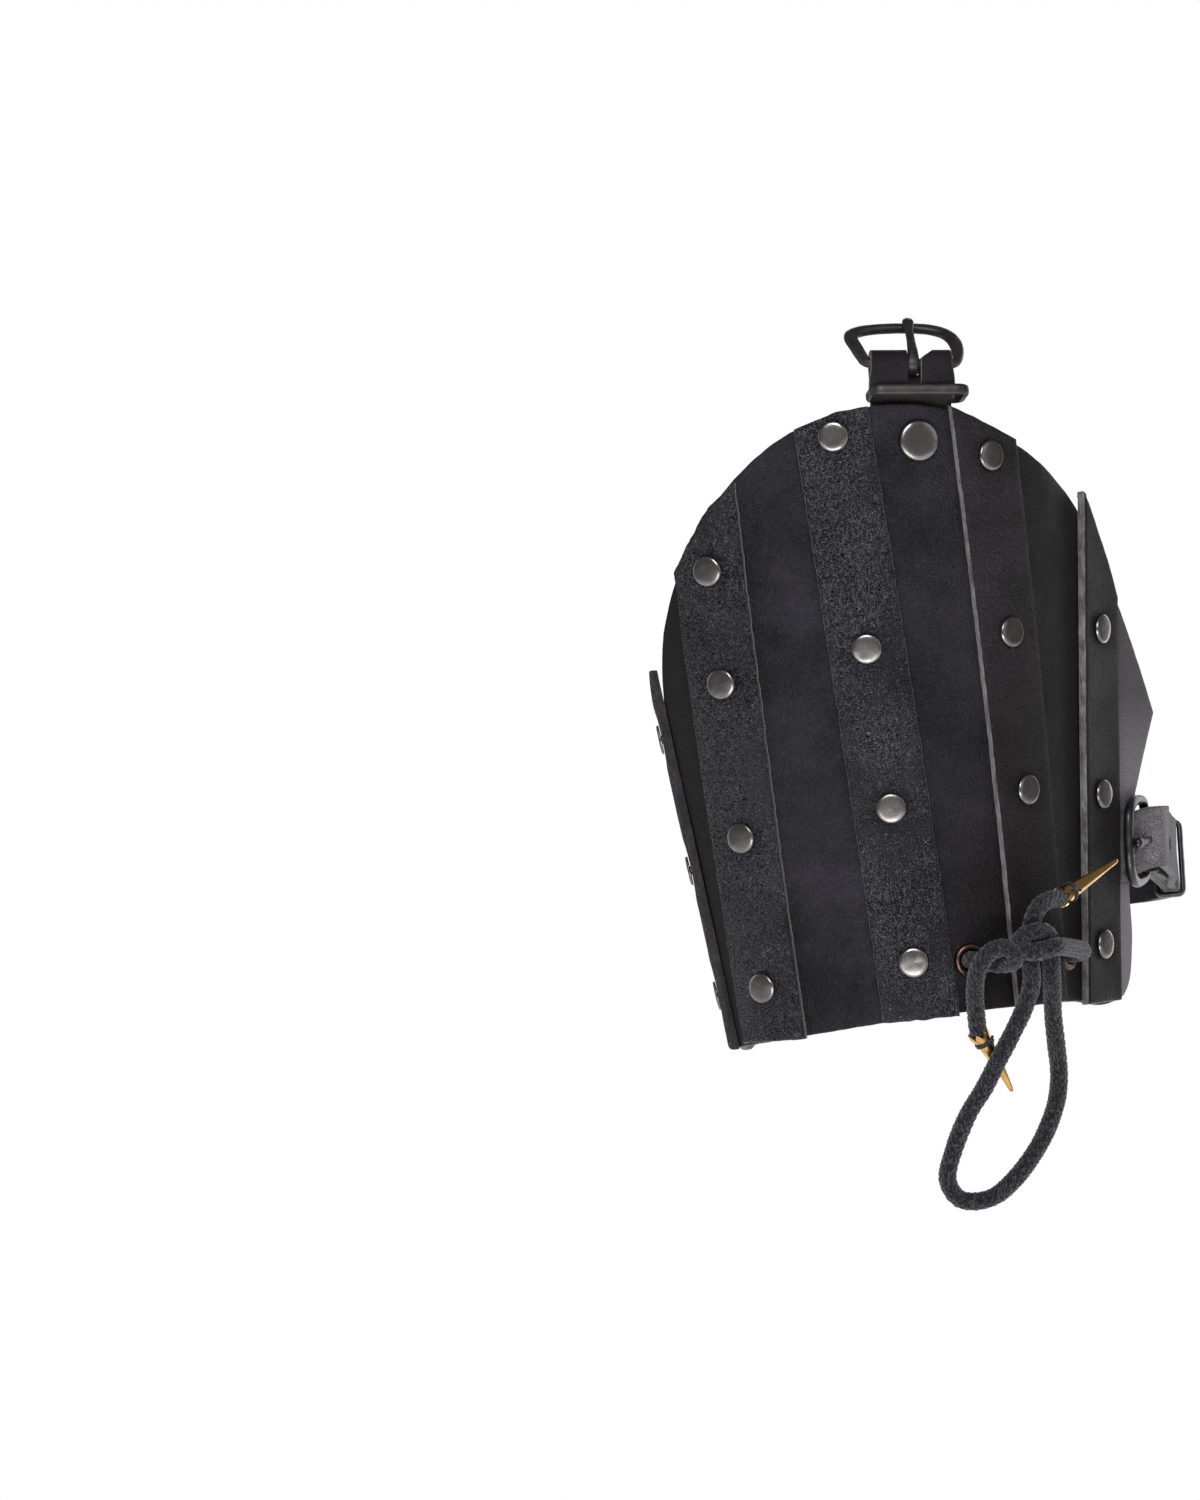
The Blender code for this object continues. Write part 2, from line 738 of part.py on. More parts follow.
def top_strap():
    """Up inside the shell, forwards over the hinge bar, and down to the keeper."""
    along, up, out, bar = top_place()
    wide, narrow = along * STRAP_HALF_WIDTH, along * FOLD_HALF_WIDTH
    right, left = bent(TOP_S + STRAP_HALF_WIDTH, TOP_RIVET_H), bent(TOP_S - STRAP_HALF_WIDTH, TOP_RIVET_H)
    on_shell = (right - left).normalized() * STRAP_HALF_WIDTH
    flat = Vector((0, 0, 0))
    inside = -LEATHER - GAP - STRAP / 2 - 0.3
    rows = []
    for h in (TOP_STRAP_FOOT_H, 164.0, 170.0, 176.0):
        middle = bent(TOP_S, h, inside - 0.2)
        edge = (bent(TOP_S + STRAP_HALF_WIDTH, h, inside) + bent(TOP_S - STRAP_HALF_WIDTH, h, inside)) / 2
        crown = Vector((0, (edge - middle).dot(Vector((0, 1, 0))), 0))
        rows.append((middle, on_shell, crown))
    rows.append((bent(TOP_S, 182.0, inside + 0.1), (on_shell + narrow) / 2, Vector((0, 0.6, 0))))
    back_top = bar - out * FOLD_R
    rows.append((back_top - up * 6.5 + out * 0.3, narrow, flat))
    slot_from = len(rows) - 1
    for angle in (0, 30, 60, 90, 120, 150, 180):
        a = math.radians(angle)
        around = (up * math.sin(a) - out * math.cos(a)) * FOLD_R
        rows.append((bar + around, narrow, flat))
    rows.append((bar + out * (FOLD_R - 0.9) - up * 7.4, narrow, flat))
    slot_to = len(rows) - 1
    rows.append((bar + out * (FOLD_R - 1.5) - up * 11.2, (wide + narrow) / 2, flat))
    sheet = strap_sheet("top_strap", rows, STRAP_HALF_WIDTH, range(slot_from, slot_to))
    hole = prism("top_strap_hole", HOLE_R, 4 * LEATHER, 8)
    cut(sheet, cutter("top_strap_hole", hole, stand_on(TOP_S, TOP_RIVET_H, inside)))
    stack_bottom = -LEATHER - GAP - STRAP - 1.2
    rivet("top_rivet", TOP_S, TOP_RIVET_H, 0.35, stack_bottom, LARGE_CAP, LARGE_HEIGHT, LARGE_BURR)


def top_buckle():
    along, up, out, bar = top_place()
    lean = math.radians(TOP_LEAN)
    face = out * math.cos(lean) + up * math.sin(lean)
    reach = up * math.cos(lean) - out * math.sin(lean)
    buckle("top", frame(bar, reach.cross(face), face))
    centre = bar + up * (TOP_KEEPER_H - TOP_BAR_H) + along * TOP_KEEPER_SHIFT - out * 1.65
    keeper("top_keeper", frame(centre, along, up), TOP_KEEPER_SIZE)


def side_hinge():
    """The side buckle's hinge bar: its middle, the direction back along the strap, and out."""
    heading = math.radians(SIDE_HEADING)
    back = Vector((math.cos(heading), math.sin(heading), 0.05)).normalized()
    out = back.cross(up_at(SIDE_BAR_S, SIDE_H)).normalized()
    outer_bar = bent(SIDE_BAR_S, SIDE_H, SIDE_BAR_LIFT)
    drop = SIDE_BAR_LIFT - SIDE_HINGE_LIFT
    run = math.sqrt(FRAME_LENGTH**2 - drop**2)
    hinge = outer_bar + back * run - out * drop
    return hinge, outer_bar, back, out


def back_line():
    """Rows (u, middle, forward, out, half) along the strap's line, u from the hinge bar."""
    hinge, _, _, _ = side_hinge()
    on_flank = [bent(s, BACK_RIVET_H, GAP + STRAP / 2 + off) for s, off in BACK_STRAP_ON_FLANK]
    points = smooth_path([hinge, *BACK_STRAP, *on_flank], 8.0)
    steps = [(b - a).length for a, b in zip(points, points[1:])]
    total = sum(steps)
    right_up, left_up = up_at(SIDE_BAR_S, SIDE_H), up_at(BACK_RIVET_S, BACK_RIVET_H)
    rows, u = [], 0.0
    for i, point in enumerate(points):
        before, after = points[max(i - 1, 0)], points[min(i + 1, len(points) - 1)]
        forward = (after - before).normalized()
        up = Vector((0, 0, 1))
        up = up.lerp(right_up, max(0.0, 1 - u / 60.0))
        up = up.lerp(left_up, min(1.0, max(0.0, (u - total + 70.0) / 45.0)))
        out = forward.cross(up).normalized()
        half = out.cross(forward).normalized() * SIDE_HALF_WIDTH
        rows.append((u, point, forward, out, half))
        u += steps[i] if i < len(steps) else 0.0
    return rows


def on_back_line(rows, u):
    """The same row, interpolated at any u."""
    for low, high in zip(rows, rows[1:]):
        if u <= high[0]:
            t = (u - low[0]) / (high[0] - low[0])
            return tuple(a.lerp(b, t) for a, b in zip(low[1:], high[1:]))
    return rows[-1][1:]


# Rows where the tongue lies on the back strap, and its width there as a share of its full width
LAPPED_U = (42.0, 50.0, 58.0, 66.0, 74.0, 80.0, 85.0, 88.0, TONGUE_END_U)
TIP_SHARES = (1.0, 1.0, 1.0, 1.0, 1.0, 1.0, 0.92, 0.74, 0.42)
LAYER = (STRAP + GAP) / 2  # half the distance between two layers' middles


def spread(u):
    """How far the fold's layers stand from the line: open at the hinge bar, closed past it."""
    t = min(u / 9.0, 1.0)
    return FOLD_R + (LAYER - FOLD_R) * (3 * t * t - 2 * t**3)


def back_strap():
    """Its end is folded over the side hinge bar; the rest runs round the back to the left flank."""
    line = back_line()
    total = line[-1][0]
    hinge, _, back, out = side_hinge()
    narrow = SIDE_FOLD_HALF_WIDTH / SIDE_HALF_WIDTH
    flat = Vector((0, 0, 0))
    rows = []
    for u in (FOLD_LAP, 26.0, 18.0, 11.0, 6.0, 3.0):
        middle, _, away, half = on_back_line(line, u)
        squeeze = narrow if u < 8 else 1.0
        rows.append((middle + away * spread(u), half * squeeze, flat))
    slot_from = len(rows) - 2
    half = out.cross(back).normalized() * SIDE_FOLD_HALF_WIDTH
    for angle in (90, 120, 150, 180, 210, 240, 270):
        a = math.radians(angle)
        rows.append((hinge + (back * math.cos(a) + out * math.sin(a)) * FOLD_R, half, flat))
    slot_to = len(rows) + 1
    for u in (3.0, 6.0, 11.0, 18.0, 26.0, 34.0, *LAPPED_U):
        middle, _, away, half = on_back_line(line, u)
        squeeze = narrow if u < 8 else 1.0
        rows.append((middle - away * spread(u), half * squeeze, flat))
    # Past the tongue's end the strap eases onto the line itself, and so onto the flank.
    for u in [u for u, *_ in line if u > TONGUE_END_U + 5.0]:
        middle, _, away, half = on_back_line(line, u)
        ease = max(0.0, 1 - (u - TONGUE_END_U) / (total - TONGUE_END_U - 35.0))
        rows.append((middle - away * LAYER * ease, half, flat))
    sheet = strap_sheet("back_strap", rows, SIDE_HALF_WIDTH, range(slot_from, slot_to))
    lift = GAP + STRAP / 2
    hole = prism("back_strap_hole", HOLE_R, 4 * LEATHER, 8)
    cut(sheet, cutter("back_strap_hole", hole, stand_on(BACK_RIVET_S, BACK_RIVET_H, lift)))
    top = GAP + STRAP + 0.3
    rivet("back_rivet", BACK_RIVET_S, BACK_RIVET_H, top, -LEATHER - 0.2, LARGE_CAP, LARGE_HEIGHT, LARGE_BURR)


def tongue_strap():
    """From the right flank, up through the side frame, over the hinge bar and under the keeper."""
    line = back_line()
    flat = Vector((0, 0, 0))
    lift = GAP + STRAP / 2
    rows = [
        (bent(s, SIDE_H, lift), up_at(s, SIDE_H) * SIDE_HALF_WIDTH, flat)
        for s in (TONGUE_START_S, 85.0, 90.0)
    ]
    hinge, _, back, out = side_hinge()
    over = FOLD_R + STRAP + GAP
    half = out.cross(back).normalized() * SIDE_HALF_WIDTH
    rows.append((hinge - back * 5.6 + out * (over - 2.6), half, flat))
    rows.append((hinge - back * 2.6 + out * (over - 0.1), half, flat))
    for u in (0.5, 3.5, 7.0, 13.0, 20.0, 27.0, 33.0):
        middle, _, away, half = on_back_line(line, u)
        rows.append((middle + away * (spread(u) + STRAP + GAP + 0.2), half, flat))
    for u, share in zip(LAPPED_U, TIP_SHARES):
        middle, _, away, half = on_back_line(line, u)
        rows.append((middle + away * (LAYER + 0.2), half * share, flat))
    sheet = strap_sheet("tongue_strap", rows, SIDE_HALF_WIDTH)
    hole = prism("tongue_hole", TONGUE_HOLE_R, 4 * LEATHER, 10)
    for i, u in enumerate(TONGUE_HOLES_U):
        middle, forward, away, _ = on_back_line(line, u)
        cut(sheet, cutter(f"tongue_hole_{i}", hole, frame(middle + away * 3, forward, away)))
    rivet_hole = prism("tongue_rivet_hole", HOLE_R, 4 * LEATHER, 8)
    cut(sheet, cutter("tongue_rivet_hole", rivet_hole, stand_on(TONGUE_RIVET_S, SIDE_H, lift)))
    top = GAP + STRAP + 0.1
    rivet("tongue_rivet", TONGUE_RIVET_S, SIDE_H, top, -LEATHER - 0.1, SMALL_CAP, 1.2, RIVET_BURR)
    return sheet


def side_buckle(tongue):
    hinge, outer_bar, _, out = side_hinge()
    reach = (outer_bar - hinge).normalized()
    face = (out - reach * out.dot(reach)).normalized()
    place = frame(hinge, reach.cross(face), face)
    buckle("side", place)
    clearance = tube("tongue_prong_hole", prong_route(), PRONG_R + 0.35, "black_metal", matrix=place)
    mesh = evaluated_mesh(clearance)
    cut(tongue, cutter("tongue_prong_hole", mesh, place))
    middle, forward, away, half = on_back_line(back_line(), SIDE_KEEPER_U)
    size = (2 * SIDE_HALF_WIDTH + 1.4, 2 * STRAP + GAP + 1.6)
    keeper("side_keeper", frame(middle + away * 0.2, half, forward), size)


# ------------------------------------------------------------------ the cord


def cord():
    """A hanging loop, a knot and two short ends, and the stretches through the eyelets."""
    knot = mesh_of("cord_knot", knot_form)
    part("cord_knot", knot, "cord_braid", Matrix.Translation(Vector(KNOT_CENTRE) * MM), smooth=True)

    def wider(bm):
        knot_form(bm, GAP)

    clearing = cutter(
        "knot_clearing", mesh_of("knot_clearing", wider), Matrix.Translation(Vector(KNOT_CENTRE) * MM)
    )
    (_, s1, h1), (_, s2, h2) = EYELETS
    knot_at = Vector(KNOT_CENTRE)
    bore_1 = [bent(s1, h1, lift) for lift in (-4.4, -1.5, 1.25)]
    bore_2 = [bent(s2, h2, lift) for lift in (1.25, -1.5, -4.4)]
    inside = [
        bent(s1, h1, -5.1),
        bent(s1 + 0.3, h1, -7.4),
        bent(5.0, 13.5, -10.4),
        bent(21.0, 13.2, -12.5),
        bent(38.0, 12.9, -10.4),
        bent(s2 - 0.3, h2, -7.4),
        bent(s2, h2, -5.1),
    ]
    routes = (
        # name, route
        ("cord_loop", LOOP_ROUTE),
        ("cord_end_1", END_1_ROUTE),
        ("cord_end_2", END_2_ROUTE),
        ("cord_stub_1", (*bore_1, bent(s1 + 1.0, h1, 3.4), bent(s1 + 3.6, h1, 4.5), bent(4.0, 14.5, 6.0), knot_at)),
        (
            "cord_stub_2",
            (
                knot_at,
                bent(25.0, 15.4, 10.2),
                bent(33.0, 14.0, 8.6),
                bent(s2 - 6.5, h2 + 0.3, 6.4),
                bent(s2 - 3.6, h2, 4.8),
                bent(s2 - 1.0, h2, 3.4),
                *bore_2,
            ),
        ),
        ("cord_inside", inside),
    )
    for name, route in routes:
        strand = as_mesh(tube(name, smooth_path(route, 5.5), CORD_R, "cord_braid"), "cord_braid")
        cut(strand, clearing)


def knot_form(bm, wider=0.0):
    bmesh.ops.create_uvsphere(bm, u_segments=12, v_segments=8, radius=1.0)
    bmesh.ops.scale(bm, vec=[r + wider for r in KNOT_RADII], verts=bm.verts)


def aglets():
    """A slender brass cone, open at its mouth, that the cord's end goes into."""
    for name, mouth, tip in AGLETS:
        axis = Vector(tip) - Vector(mouth)
        length = axis.length
        place = frame(Vector(mouth), axis.orthogonal(), axis)
        profile = (
            (0, length),
            (AGLET_TIP_R, length),
            (1.45, length * 0.5),
            (2.1, length * 0.24),
            (2.3, length * 0.14),
            (AGLET_MOUTH_R, 0),
            (AGLET_MOUTH_R - AGLET_WALL, 0),
            (1.8, length * 0.14),
            (0, length * 0.16),
        )
        turned(name, profile, "aglet_brass", place, sides=10)


def main():
    leather_body()
    eyelets()
    top_strap()
    top_buckle()
    back_strap()
    side_buckle(tongue_strap())
    cord()
    aglets()


main()
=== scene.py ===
"""The looks of the leather arm guard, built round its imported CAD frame.

Lengths in this script are millimetres until raw_mesh() scales them; the camera, the materials and
the lights have metres. On the leather's flat pattern, s runs round the guard from the middle of its
front, h runs up from its lower edge, and lift is the distance out from the shell's outer face.
"""

import math

import bmesh
import bpy
import numpy as np
from mathutils import Matrix, Vector, noise
from mathutils.geometry import delaunay_2d_cdt


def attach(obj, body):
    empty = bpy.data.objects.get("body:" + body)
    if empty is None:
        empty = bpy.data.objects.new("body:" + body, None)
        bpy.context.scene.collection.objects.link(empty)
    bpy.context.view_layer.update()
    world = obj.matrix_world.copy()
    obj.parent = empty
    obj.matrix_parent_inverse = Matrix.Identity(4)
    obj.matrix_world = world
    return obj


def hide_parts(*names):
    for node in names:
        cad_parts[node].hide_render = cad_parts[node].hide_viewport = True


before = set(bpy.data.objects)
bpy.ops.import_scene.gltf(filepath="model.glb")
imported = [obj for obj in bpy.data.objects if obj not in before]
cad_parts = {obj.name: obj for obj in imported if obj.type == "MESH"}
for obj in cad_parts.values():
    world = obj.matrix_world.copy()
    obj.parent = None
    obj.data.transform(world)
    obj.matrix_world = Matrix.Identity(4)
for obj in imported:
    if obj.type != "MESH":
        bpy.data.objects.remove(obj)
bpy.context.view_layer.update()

MM = 0.001


# ------------------------------------------------------------------ the camera

CAMERA_DISTANCE = 1.6
LENS, SENSOR = 124.032, 36.0
YAW, PITCH, ROLL = 15.2, -1.96, -5.45
# Where the picture's middle lies from the origin, as tangents of the angles seen by the camera
AIM_RIGHT, AIM_UP = -0.062036, -0.008069


def linked(name, data):
    """A new object with that data, in the scene."""
    made = bpy.data.objects.new(name, data)
    bpy.context.scene.collection.objects.link(made)
    return made


def make_camera():
    yaw, pitch, roll = (math.radians(a) for a in (YAW, PITCH, ROLL))
    forward = Vector((math.sin(yaw) * math.cos(pitch), math.cos(yaw) * math.cos(pitch), -math.sin(pitch)))
    level = Vector((math.cos(yaw), -math.sin(yaw), 0))
    upright = level.cross(forward)
    right = level * math.cos(roll) + upright * math.sin(roll)
    up = upright * math.cos(roll) - level * math.sin(roll)
    # The picture's middle is off the origin, so the camera turns there by the shortest way.
    aim = (forward + right * AIM_RIGHT + up * AIM_UP).normalized()
    turn = forward.rotation_difference(aim)
    axes = Matrix((turn @ right, turn @ up, -aim)).transposed()
    data = bpy.data.cameras.new("camera")
    data.sensor_width = SENSOR
    data.lens = LENS
    camera = linked("camera", data)
    camera.matrix_world = Matrix.Translation(-forward * CAMERA_DISTANCE) @ axes.to_4x4()
    bpy.context.scene.camera = camera


make_camera()


# ------------------------------------------------------------------ the bent form, as the CAD has it

BENDS = (
    # s, heading of the outer face in degrees
    (-156, -130), (-127, -110), (-104, -94), (-71, -37), (-24, -12), (-8, 1), (4, 14), (14, 25), (30, 39),
    (42, 47), (61, 47), (82, 43), (112, 47),
)
FRONT_Y = -50.0
MID_H = 92.0
FLARE = 0.0016
FORM_STEP = 0.25

LEATHER = 2.6
STRAP = 2.4

FORM_S = np.arange(BENDS[0][0] - 4, BENDS[-1][0] + 4, FORM_STEP)
FORM_HEADING = np.radians(np.interp(FORM_S, *np.array(BENDS, float).T))


def running_sum(values):
    steps = (values[1:] + values[:-1]) / 2 * FORM_STEP
    total = np.concatenate([[0.0], np.cumsum(steps)])
    return total - np.interp(0, FORM_S, total)


FORM_X = running_sum(np.cos(FORM_HEADING))
FORM_Y = running_sum(np.sin(FORM_HEADING)) + FRONT_Y


def growth(h):
    return 1 + FLARE * (h - MID_H)


def bent(s, h, lift=0.0):
    """Points in space of places on the flat pattern; takes numbers or arrays."""
    s, h, lift = np.broadcast_arrays(*(np.asarray(v, float) for v in (s, h, lift)))
    heading = np.interp(s, FORM_S, FORM_HEADING)
    x = np.interp(s, FORM_S, FORM_X) * growth(h) + lift * np.sin(heading)
    y = np.interp(s, FORM_S, FORM_Y) * growth(h) - lift * np.cos(heading)
    return np.stack([x, y, h - MID_H], -1)


def unit(v):
    return v / np.maximum(np.linalg.norm(v, axis=-1, keepdims=True), 1e-9)


def up_at(s, h):
    return unit(bent(s, h + 1) - bent(s, h - 1))


def axes_on(s, h):
    """Along, up and out of the leather there, as the columns of an array."""
    along = unit(bent(s + 1.5, h) - bent(s - 1.5, h))
    out = unit(np.cross(along, up_at(s, h)))
    return np.stack([along, np.cross(out, along), out], -1)


def axes_from(x_axis, z_axis):
    x_axis = unit(np.asarray(x_axis, float))
    y_axis = unit(np.cross(z_axis, x_axis))
    return np.stack([x_axis, y_axis, np.cross(x_axis, y_axis)], -1)


def wander(points, size, seed):
    """Smooth noise from -1 to 1 at each point, with features about that many millimetres across."""
    places = np.asarray(points, float).reshape(len(points), -1) / size
    pad = np.zeros((len(places), 3))
    pad[:, : places.shape[1]] = places
    pad[:, 2] += seed * 17.3
    return np.array([noise.noise(Vector(p)) for p in pad])


# ------------------------------------------------------------------ making meshes


def raw_mesh(name, points, faces, materials):
    mesh = bpy.data.meshes.new(name)
    mesh.from_pydata((np.asarray(points) * MM).tolist(), [], [tuple(int(i) for i in f) for f in faces])
    for material in materials:
        mesh.materials.append(material)
    return mesh


def mesh_piece(name, points, faces, materials, slots=None, body="guard", stands_for=(), sharp=None):
    """An object from points in millimetres, riding on a body and standing for CAD nodes."""
    mesh = raw_mesh(name, points, faces, materials)
    if slots is not None:
        mesh.polygons.foreach_set("material_index", np.asarray(slots, np.int32))
    mesh.shade_smooth()
    if sharp:
        mesh.set_sharp_from_angle(angle=math.radians(sharp))
    made = linked(name, mesh)
    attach(made, body)
    if stands_for:
        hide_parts(*stands_for)
    return made


def grid_faces(rows, columns, wrap_rows=False, wrap_columns=False):
    """Quads over a grid of points stored row by row."""
    r = np.arange(rows if wrap_rows else rows - 1)
    c = np.arange(columns if wrap_columns else columns - 1)
    r, c = np.meshgrid(r, c, indexing="ij")
    next_r, next_c = (r + 1) % rows, (c + 1) % columns
    quads = [r * columns + c, r * columns + next_c, next_r * columns + next_c, next_r * columns + c]
    return np.stack(quads, -1).reshape(-1, 4)


def tube_faces(rows, columns):
    """Quads round an open tube, and one face across each end."""
    ends = np.arange(columns)[::-1], np.arange(columns) + (rows - 1) * columns
    return [*grid_faces(rows, columns, wrap_columns=True), *ends]


def turned(profile, origin, axes, segments):
    """Points and quads of rows of (radius, height) turned about the z axis of axes."""
    angle = np.linspace(0, 2 * np.pi, segments, endpoint=False)
    radius, height = np.array(profile, float).T[..., None]
    local = np.stack([radius * np.cos(angle), radius * np.sin(angle), height + 0 * angle], -1)
    return local.reshape(-1, 3) @ axes.T + origin, grid_faces(len(profile), segments, wrap_columns=True)


def joined(parts):
    """Several (points, faces) as one."""
    points, faces, start = [], [], 0
    for part_points, part_faces in parts:
        points.append(part_points)
        faces.extend(tuple(i + start for i in face) for face in part_faces)
        start += len(part_points)
    return np.concatenate(points), faces


def catmull(a, b, c, d, t):
    """The curve from b to c that looks back to a and on to d."""
    return 0.5 * (2 * b + (c - a) * t + (2 * a - 5 * b + 4 * c - d) * t**2 + (3 * b - a - 3 * c + d) * t**3)


def smooth_path(points, spacing):
    """Points about that far apart on a Catmull-Rom curve through rows of numbers."""
    given = np.asarray(points, float)
    ends = np.concatenate([[2 * given[0] - given[1]], given, [2 * given[-1] - given[-2]]])
    path = [given[0]]
    for a, b, c, d in zip(ends, ends[1:], ends[2:], ends[3:]):
        count = max(1, round(float(np.linalg.norm((c - b)[:3])) / spacing))
        path.extend(catmull(a, b, c, d, t) for t in np.arange(1, count + 1) / count)
    return np.array(path)


def arc_lengths(path):
    return np.concatenate([[0.0], np.cumsum(np.linalg.norm(np.diff(path, axis=0), axis=1))])


def evened(fine, spacing, space_columns=3):
    """A fine line's rows again at even steps, measured in its first columns."""
    reach = arc_lengths(fine[:, :space_columns])
    at = np.linspace(0, reach[-1], max(2, round(reach[-1] / spacing) + 1))
    return np.stack([np.interp(at, reach, column) for column in fine.T], -1)


def even_path(points, spacing):
    """The smooth curve, at even steps."""
    return evened(smooth_path(points, spacing / 3), spacing)


def carried_frames(path, first_up, closed=False):
    """Side and up vectors along a path that turn as little as they can."""
    ahead = np.roll(path, -1, 0) if closed else np.concatenate([path[1:], [2 * path[-1] - path[-2]]])
    behind = np.roll(path, 1, 0) if closed else np.concatenate([[2 * path[0] - path[1]], path[:-1]])
    tangent = unit(ahead - behind)
    up = np.empty_like(path)
    last = np.asarray(first_up, float)
    for i, t in enumerate(tangent):
        last = unit(last - t * (last @ t))
        up[i] = last
    return np.cross(tangent, up), up


# ------------------------------------------------------------------ leather cut flat and bent

SHELL_OUTLINE = (
    # s, h, round
    (-139, -7.5, True), (-116, -7, True), (-67, -4.5, True), (-30, -2.2, True), (10, -1.5, True),
    (50, -2.2, True), (80, -4, True), (90.5, -0.5, True), (94, 12, True), (91.5, 34, True),
    (92.5, 52, True), (98, 66, True), (107.5, 85, False), (80.5, 122.5, False), (60, 146.7, True),
    (43.4, 158, True), (23, 168.5, True), (3, 178, True), (-19, 181, True), (-38, 177, True),
    (-58, 164, True), (-75, 145, True), (-92, 122.4, True), (-107, 103.5, True), (-127, 89.5, False),
    (-147, 83.5, True), (-154.5, 73, True), (-154, 42, True), (-152, 8, True), (-148.5, -3.5, True),
)
SPLINT_WIDTH = 22.5
SPLINT_WAIST_H = 50.0
SPLINT_2_HEAD = ((1.0, 162.5), (0.2, 156.0), (-0.5, 146.0), (-1.0, 138.0))
SPLINT_3_HEAD = ((1.0, 180.9), (0.15, 180.0), (-1.0, 176.2))
SPLINT_4_HEAD = ((1.0, 168.6), (-0.1, 174.2), (-1.0, 179.4))
SPLINT_5_HEAD = ((1.0, 121.0), (0.4, 133.0), (-0.7, 150.0), (-1.0, 153.5))
SPLINTS = {
    # name: s at MID_H, slant, foot h, head corners as (share of the half width, h), h of its rivets
    "splint_1": (-116.0, 0.034, -7.2, ((1.0, 110.5), (-1.0, 92.0)), (90.0, 49.0, 10.0)),
    "splint_2": (-72.4, 0.065, -5.2, SPLINT_2_HEAD, (137.5, 103.5, 57.0, 11.5)),
    "splint_3": (-27.2, -0.034, -2.6, SPLINT_3_HEAD, (173.0, 109.5, 61.5, 15.0)),
    "splint_4": (17.6, -0.074, -1.7, SPLINT_4_HEAD, (164.0, 111.0, 63.5, 16.0)),
    "splint_5": (67.2, 0.001, -3.6, SPLINT_5_HEAD, (111.5, 60.5, 14.5)),
}
EYELETS = {"eyelet_1": (-4.8, 13.8), "eyelet_2": (44.0, 12.5)}
TOP_S, TOP_RIVET_H = -7.4, 169.7
SIDE_H = 43.5
TONGUE_RIVET_S = 86.8
BACK_RIVET_S, BACK_RIVET_H = -138.8, 38.0

RIVET_CAP, LARGE_CAP, SMALL_CAP = 4.65, 6.3, 3.5
HOLE_R, EYELET_HOLE_R = 2.0, 4.0

# The handle of a round point reaches this share of the way to its neighbour.
AUTO_REACH = 1 / 2.5614


def cut_line(rows, spacing):
    """The closed outline as even points, anticlockwise: a Bezier with automatic or straight handles."""
    at = np.array([row[:2] for row in rows], float)
    is_round = [row[2] for row in rows]
    before, after = np.roll(at, 1, 0), np.roll(at, -1, 0)
    back_len = np.linalg.norm(at - before, axis=1)
    on_len = np.linalg.norm(after - at, axis=1)
    tangent = unit(unit(at - before) + unit(after - at))
    points = []
    for i, start in enumerate(at):
        j = (i + 1) % len(at)
        end = at[j]
        leave = tangent[i] * on_len[i] * AUTO_REACH if is_round[i] else (end - start) / 3
        arrive = tangent[j] * back_len[j] * AUTO_REACH if is_round[j] else (end - start) / 3
        count = max(2, round(on_len[i] / spacing))
        t = (np.arange(count) / count)[:, None]
        points.append(
            start * (1 - t) ** 3
            + 3 * (start + leave) * t * (1 - t) ** 2
            + 3 * (end - arrive) * t**2 * (1 - t)
            + end * t**3
        )
    return np.concatenate(points)


def splint_s(name, h):
    return SPLINTS[name][0] + SPLINTS[name][1] * (h - MID_H)


def splint_outline(name):
    _, _, foot, head, _ = SPLINTS[name]
    ends = [(-1, foot), (1, foot), (1, SPLINT_WAIST_H), *head, (-1, SPLINT_WAIST_H)]
    return [(splint_s(name, h) + side * SPLINT_WIDTH / 2 / growth(h), h, False) for side, h in ends]


def inward(loop):
    """Unit vectors into the leather: to the left of the line, which runs anticlockwise."""
    along = np.roll(loop, -1, 0) - np.roll(loop, 1, 0)
    return unit(np.stack([-along[:, 1], along[:, 0]], -1))


def inside_loop(points, loop):
    inside = np.zeros(len(points), bool)
    for (x0, y0), (x1, y1) in zip(loop, np.roll(loop, -1, 0)):
        crosses = (y0 > points[:, 1]) != (y1 > points[:, 1])
        if crosses.any():
            at = x0 + (points[:, 1] - y0) * (x1 - x0) / (y1 - y0)
            inside ^= crosses & (points[:, 0] < at)
    return inside


def distance_to(points, loop):
    nearest = np.full(len(points), 1e9)
    for part in np.array_split(loop, max(1, len(loop) // 60)):
        gap = np.linalg.norm(points[:, None, :] - part[None], axis=2).min(1)
        nearest = np.minimum(nearest, gap)
    return nearest


# The cut edge's profile: (inset, share of the thickness above the underside), from the top round
EDGE_RINGS = ((0.5, 0.985), (0.2, 0.93), (0.04, 0.8), (0.0, 0.62), (0.0, 0.38), (0.06, 0.16), (0.25, 0.03))
EDGE_INSET, HOLE_INSET = 1.0, 0.4
GRAIN_SLOT, EDGE_SLOT, FLESH_SLOT = 0, 1, 2


